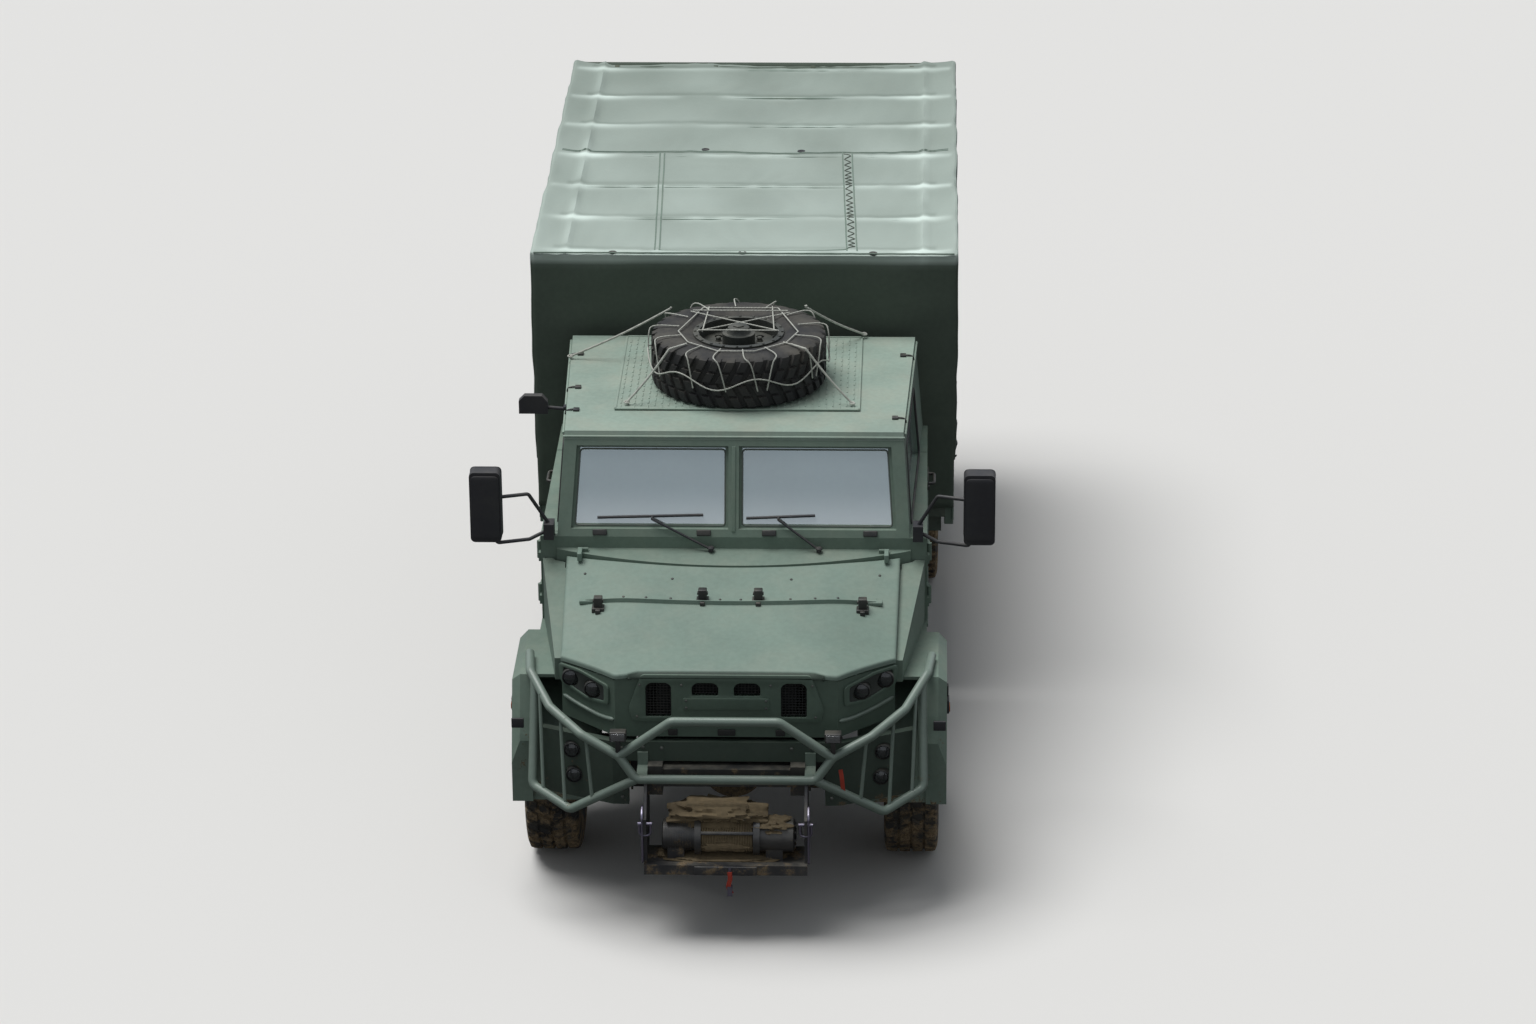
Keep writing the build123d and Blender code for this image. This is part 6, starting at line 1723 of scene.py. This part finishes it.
class TruckLook(bpy.types.PropertyGroup):
    """Light and floor"""

    sun: bpy.props.FloatProperty(name="Sun", description="Strength of the soft sun", default=2.8)
    fill: bpy.props.FloatProperty(name="Front fill", description="Strength of the light from the front",
                                  default=0.05)
    sky: bpy.props.FloatProperty(name="Sky", description="Strength of the even light all round", default=0.22)
    floor: bpy.props.FloatVectorProperty(
        name="Floor", description="Colour of the floor", default=(0.72, 0.71, 0.69), subtype="COLOR")


class TRUCK_OT_stage(bpy.types.Operator):
    """Floor, lights and camera"""

    bl_idname = "truck.stage"
    bl_label = "Stage"

    def execute(self, context):
        make_stage(context.scene.truck_look)
        return {"FINISHED"}


class TRUCK_OT_frame_paint(bpy.types.Operator):
    """Finishes of the frame's own nodes"""

    bl_idname = "truck.frame_paint"
    bl_label = "Frame paint"

    def execute(self, context):
        paint_frame()
        return {"FINISHED"}


class TRUCK_OT_tyres(bpy.types.Operator):
    """Tyres with block treads"""

    bl_idname = "truck.tyres"
    bl_label = "Tyres"

    def execute(self, context):
        make_tyres(context.scene.truck_sizes)
        return {"FINISHED"}


class TRUCK_OT_wheel_trim(bpy.types.Operator):
    """Nuts, caps and valves"""

    bl_idname = "truck.wheel_trim"
    bl_label = "Wheel trim"

    def execute(self, context):
        make_wheel_trim()
        return {"FINISHED"}


class TRUCK_OT_spare_net(bpy.types.Operator):
    """Rope net and stays"""

    bl_idname = "truck.spare_net"
    bl_label = "Spare net"

    def execute(self, context):
        make_spare_net(context.scene.truck_sizes)
        return {"FINISHED"}


class TRUCK_OT_roof_trim(bpy.types.Operator):
    """Anti-slip ribs, hooks and rain rail"""

    bl_idname = "truck.roof_trim"
    bl_label = "Roof trim"

    def execute(self, context):
        make_roof_trim()
        return {"FINISHED"}


class TRUCK_OT_cover(bpy.types.Operator):
    """Cover with its seams and flap"""

    bl_idname = "truck.cover"
    bl_label = "Canvas cover"

    def execute(self, context):
        make_cover(context.scene.truck_sizes)
        return {"FINISHED"}


class TRUCK_OT_curtain(bpy.types.Operator):
    """Rolled curtain and straps"""

    bl_idname = "truck.curtain"
    bl_label = "Rear curtain"

    def execute(self, context):
        make_curtain()
        return {"FINISHED"}


class TRUCK_OT_lacing(bpy.types.Operator):
    """Hem lacing, eyelets and hooks"""

    bl_idname = "truck.lacing"
    bl_label = "Lacing"

    def execute(self, context):
        make_lacing(context.scene.truck_sizes)
        return {"FINISHED"}


class TRUCK_OT_hood(bpy.types.Operator):
    """Pressed lid, ribs and hinge arms"""

    bl_idname = "truck.hood"
    bl_label = "Hood"

    def execute(self, context):
        make_hood()
        return {"FINISHED"}


class TRUCK_OT_hood_trim(bpy.types.Operator):
    """Ledge, latches and bolts"""

    bl_idname = "truck.hood_trim"
    bl_label = "Hood trim"

    def execute(self, context):
        make_hood_trim()
        return {"FINISHED"}


class TRUCK_OT_grille(bpy.types.Operator):
    """Grille frame, mesh and badge plate"""

    bl_idname = "truck.grille"
    bl_label = "Grille"

    def execute(self, context):
        make_grille()
        return {"FINISHED"}


class TRUCK_OT_lamps(bpy.types.Operator):
    """Front lamps and surrounds"""

    bl_idname = "truck.lamps"
    bl_label = "Lamps"

    def execute(self, context):
        make_lamps()
        return {"FINISHED"}


class TRUCK_OT_guard_trim(bpy.types.Operator):
    """Guard lamps, bars and markers"""

    bl_idname = "truck.guard_trim"
    bl_label = "Guard trim"

    def execute(self, context):
        make_guard_trim()
        return {"FINISHED"}


class TRUCK_OT_winch_trim(bpy.types.Operator):
    """Rope, mud and straps"""

    bl_idname = "truck.winch_trim"
    bl_label = "Winch trim"

    def execute(self, context):
        make_winch_trim()
        return {"FINISHED"}


class TRUCK_OT_glazing(bpy.types.Operator):
    """Windscreen seals and blocks"""

    bl_idname = "truck.glazing"
    bl_label = "Glazing"

    def execute(self, context):
        make_glazing()
        return {"FINISHED"}


class TRUCK_OT_mirrors(bpy.types.Operator):
    """Mirror panes and frames"""

    bl_idname = "truck.mirrors"
    bl_label = "Mirrors"

    def execute(self, context):
        make_mirrors()
        return {"FINISHED"}


class TRUCK_OT_doors(bpy.types.Operator):
    """Door trim, vents and steps"""

    bl_idname = "truck.doors"
    bl_label = "Doors"

    def execute(self, context):
        make_doors()
        return {"FINISHED"}


class TRUCK_OT_dash(bpy.types.Operator):
    """Dials, levers and pedals"""

    bl_idname = "truck.dash"
    bl_label = "Dash"

    def execute(self, context):
        make_dash()
        return {"FINISHED"}


class TRUCK_OT_seats(bpy.types.Operator):
    """Padded seats and belts"""

    bl_idname = "truck.seats"
    bl_label = "Seats"

    def execute(self, context):
        make_seats()
        return {"FINISHED"}


class TRUCK_OT_deck(bpy.types.Operator):
    """Floor boards and lashing rings"""

    bl_idname = "truck.deck"
    bl_label = "Load floor"

    def execute(self, context):
        make_deck()
        return {"FINISHED"}


class TRUCK_OT_board_trim(bpy.types.Operator):
    """Ribs, latches and reflectors"""

    bl_idname = "truck.board_trim"
    bl_label = "Side boards"

    def execute(self, context):
        make_board_trim()
        return {"FINISHED"}


class TRUCK_OT_gate_trim(bpy.types.Operator):
    """Ribs, catches and bare plate"""

    bl_idname = "truck.gate_trim"
    bl_label = "Tailgate"

    def execute(self, context):
        make_gate_trim()
        return {"FINISHED"}


class TRUCK_OT_tail_lamps(bpy.types.Operator):
    """Rear lamp clusters"""

    bl_idname = "truck.tail_lamps"
    bl_label = "Tail lamps"

    def execute(self, context):
        make_tail_lamps()
        return {"FINISHED"}


class TRUCK_OT_chassis_trim(bpy.types.Operator):
    """Straps, caps and leaves"""

    bl_idname = "truck.chassis_trim"
    bl_label = "Chassis trim"

    def execute(self, context):
        make_chassis_trim()
        return {"FINISHED"}


OPERATORS = (
    TRUCK_OT_stage, TRUCK_OT_frame_paint, TRUCK_OT_tyres, TRUCK_OT_wheel_trim, TRUCK_OT_spare_net,
    TRUCK_OT_roof_trim, TRUCK_OT_cover, TRUCK_OT_curtain, TRUCK_OT_lacing, TRUCK_OT_hood,
    TRUCK_OT_hood_trim, TRUCK_OT_grille, TRUCK_OT_lamps, TRUCK_OT_guard_trim, TRUCK_OT_winch_trim,
    TRUCK_OT_glazing, TRUCK_OT_mirrors, TRUCK_OT_doors, TRUCK_OT_dash, TRUCK_OT_seats,
    TRUCK_OT_deck, TRUCK_OT_board_trim, TRUCK_OT_gate_trim, TRUCK_OT_tail_lamps,
    TRUCK_OT_chassis_trim,
)


class TRUCK_PT_pieces(bpy.types.Panel):
    """Lists the truck's pieces in the sidebar"""

    bl_label = "Truck"
    bl_idname = "TRUCK_PT_pieces"
    bl_space_type = "VIEW_3D"
    bl_region_type = "UI"
    bl_category = "Truck"

    def draw(self, context):
        for group_ in (context.scene.truck_sizes, context.scene.truck_look):
            for key in group_.bl_rna.properties.keys():
                if key not in ("rna_type", "name"):
                    self.layout.prop(group_, key)
        for one in OPERATORS:
            self.layout.operator(one.bl_idname)


CLASSES = (TruckSizes, TruckLook) + OPERATORS + (TRUCK_PT_pieces,)


def register():
    for one in CLASSES:
        bpy.utils.register_class(one)
    bpy.types.Scene.truck_sizes = bpy.props.PointerProperty(type=TruckSizes)
    bpy.types.Scene.truck_look = bpy.props.PointerProperty(type=TruckLook)


def unregister():
    del bpy.types.Scene.truck_look
    del bpy.types.Scene.truck_sizes
    for one in reversed(CLASSES):
        bpy.utils.unregister_class(one)


def main():
    register()
    for one in OPERATORS:
        getattr(bpy.ops.truck, one.bl_idname.split(".")[1])()


if __name__ == "__main__":
    main()
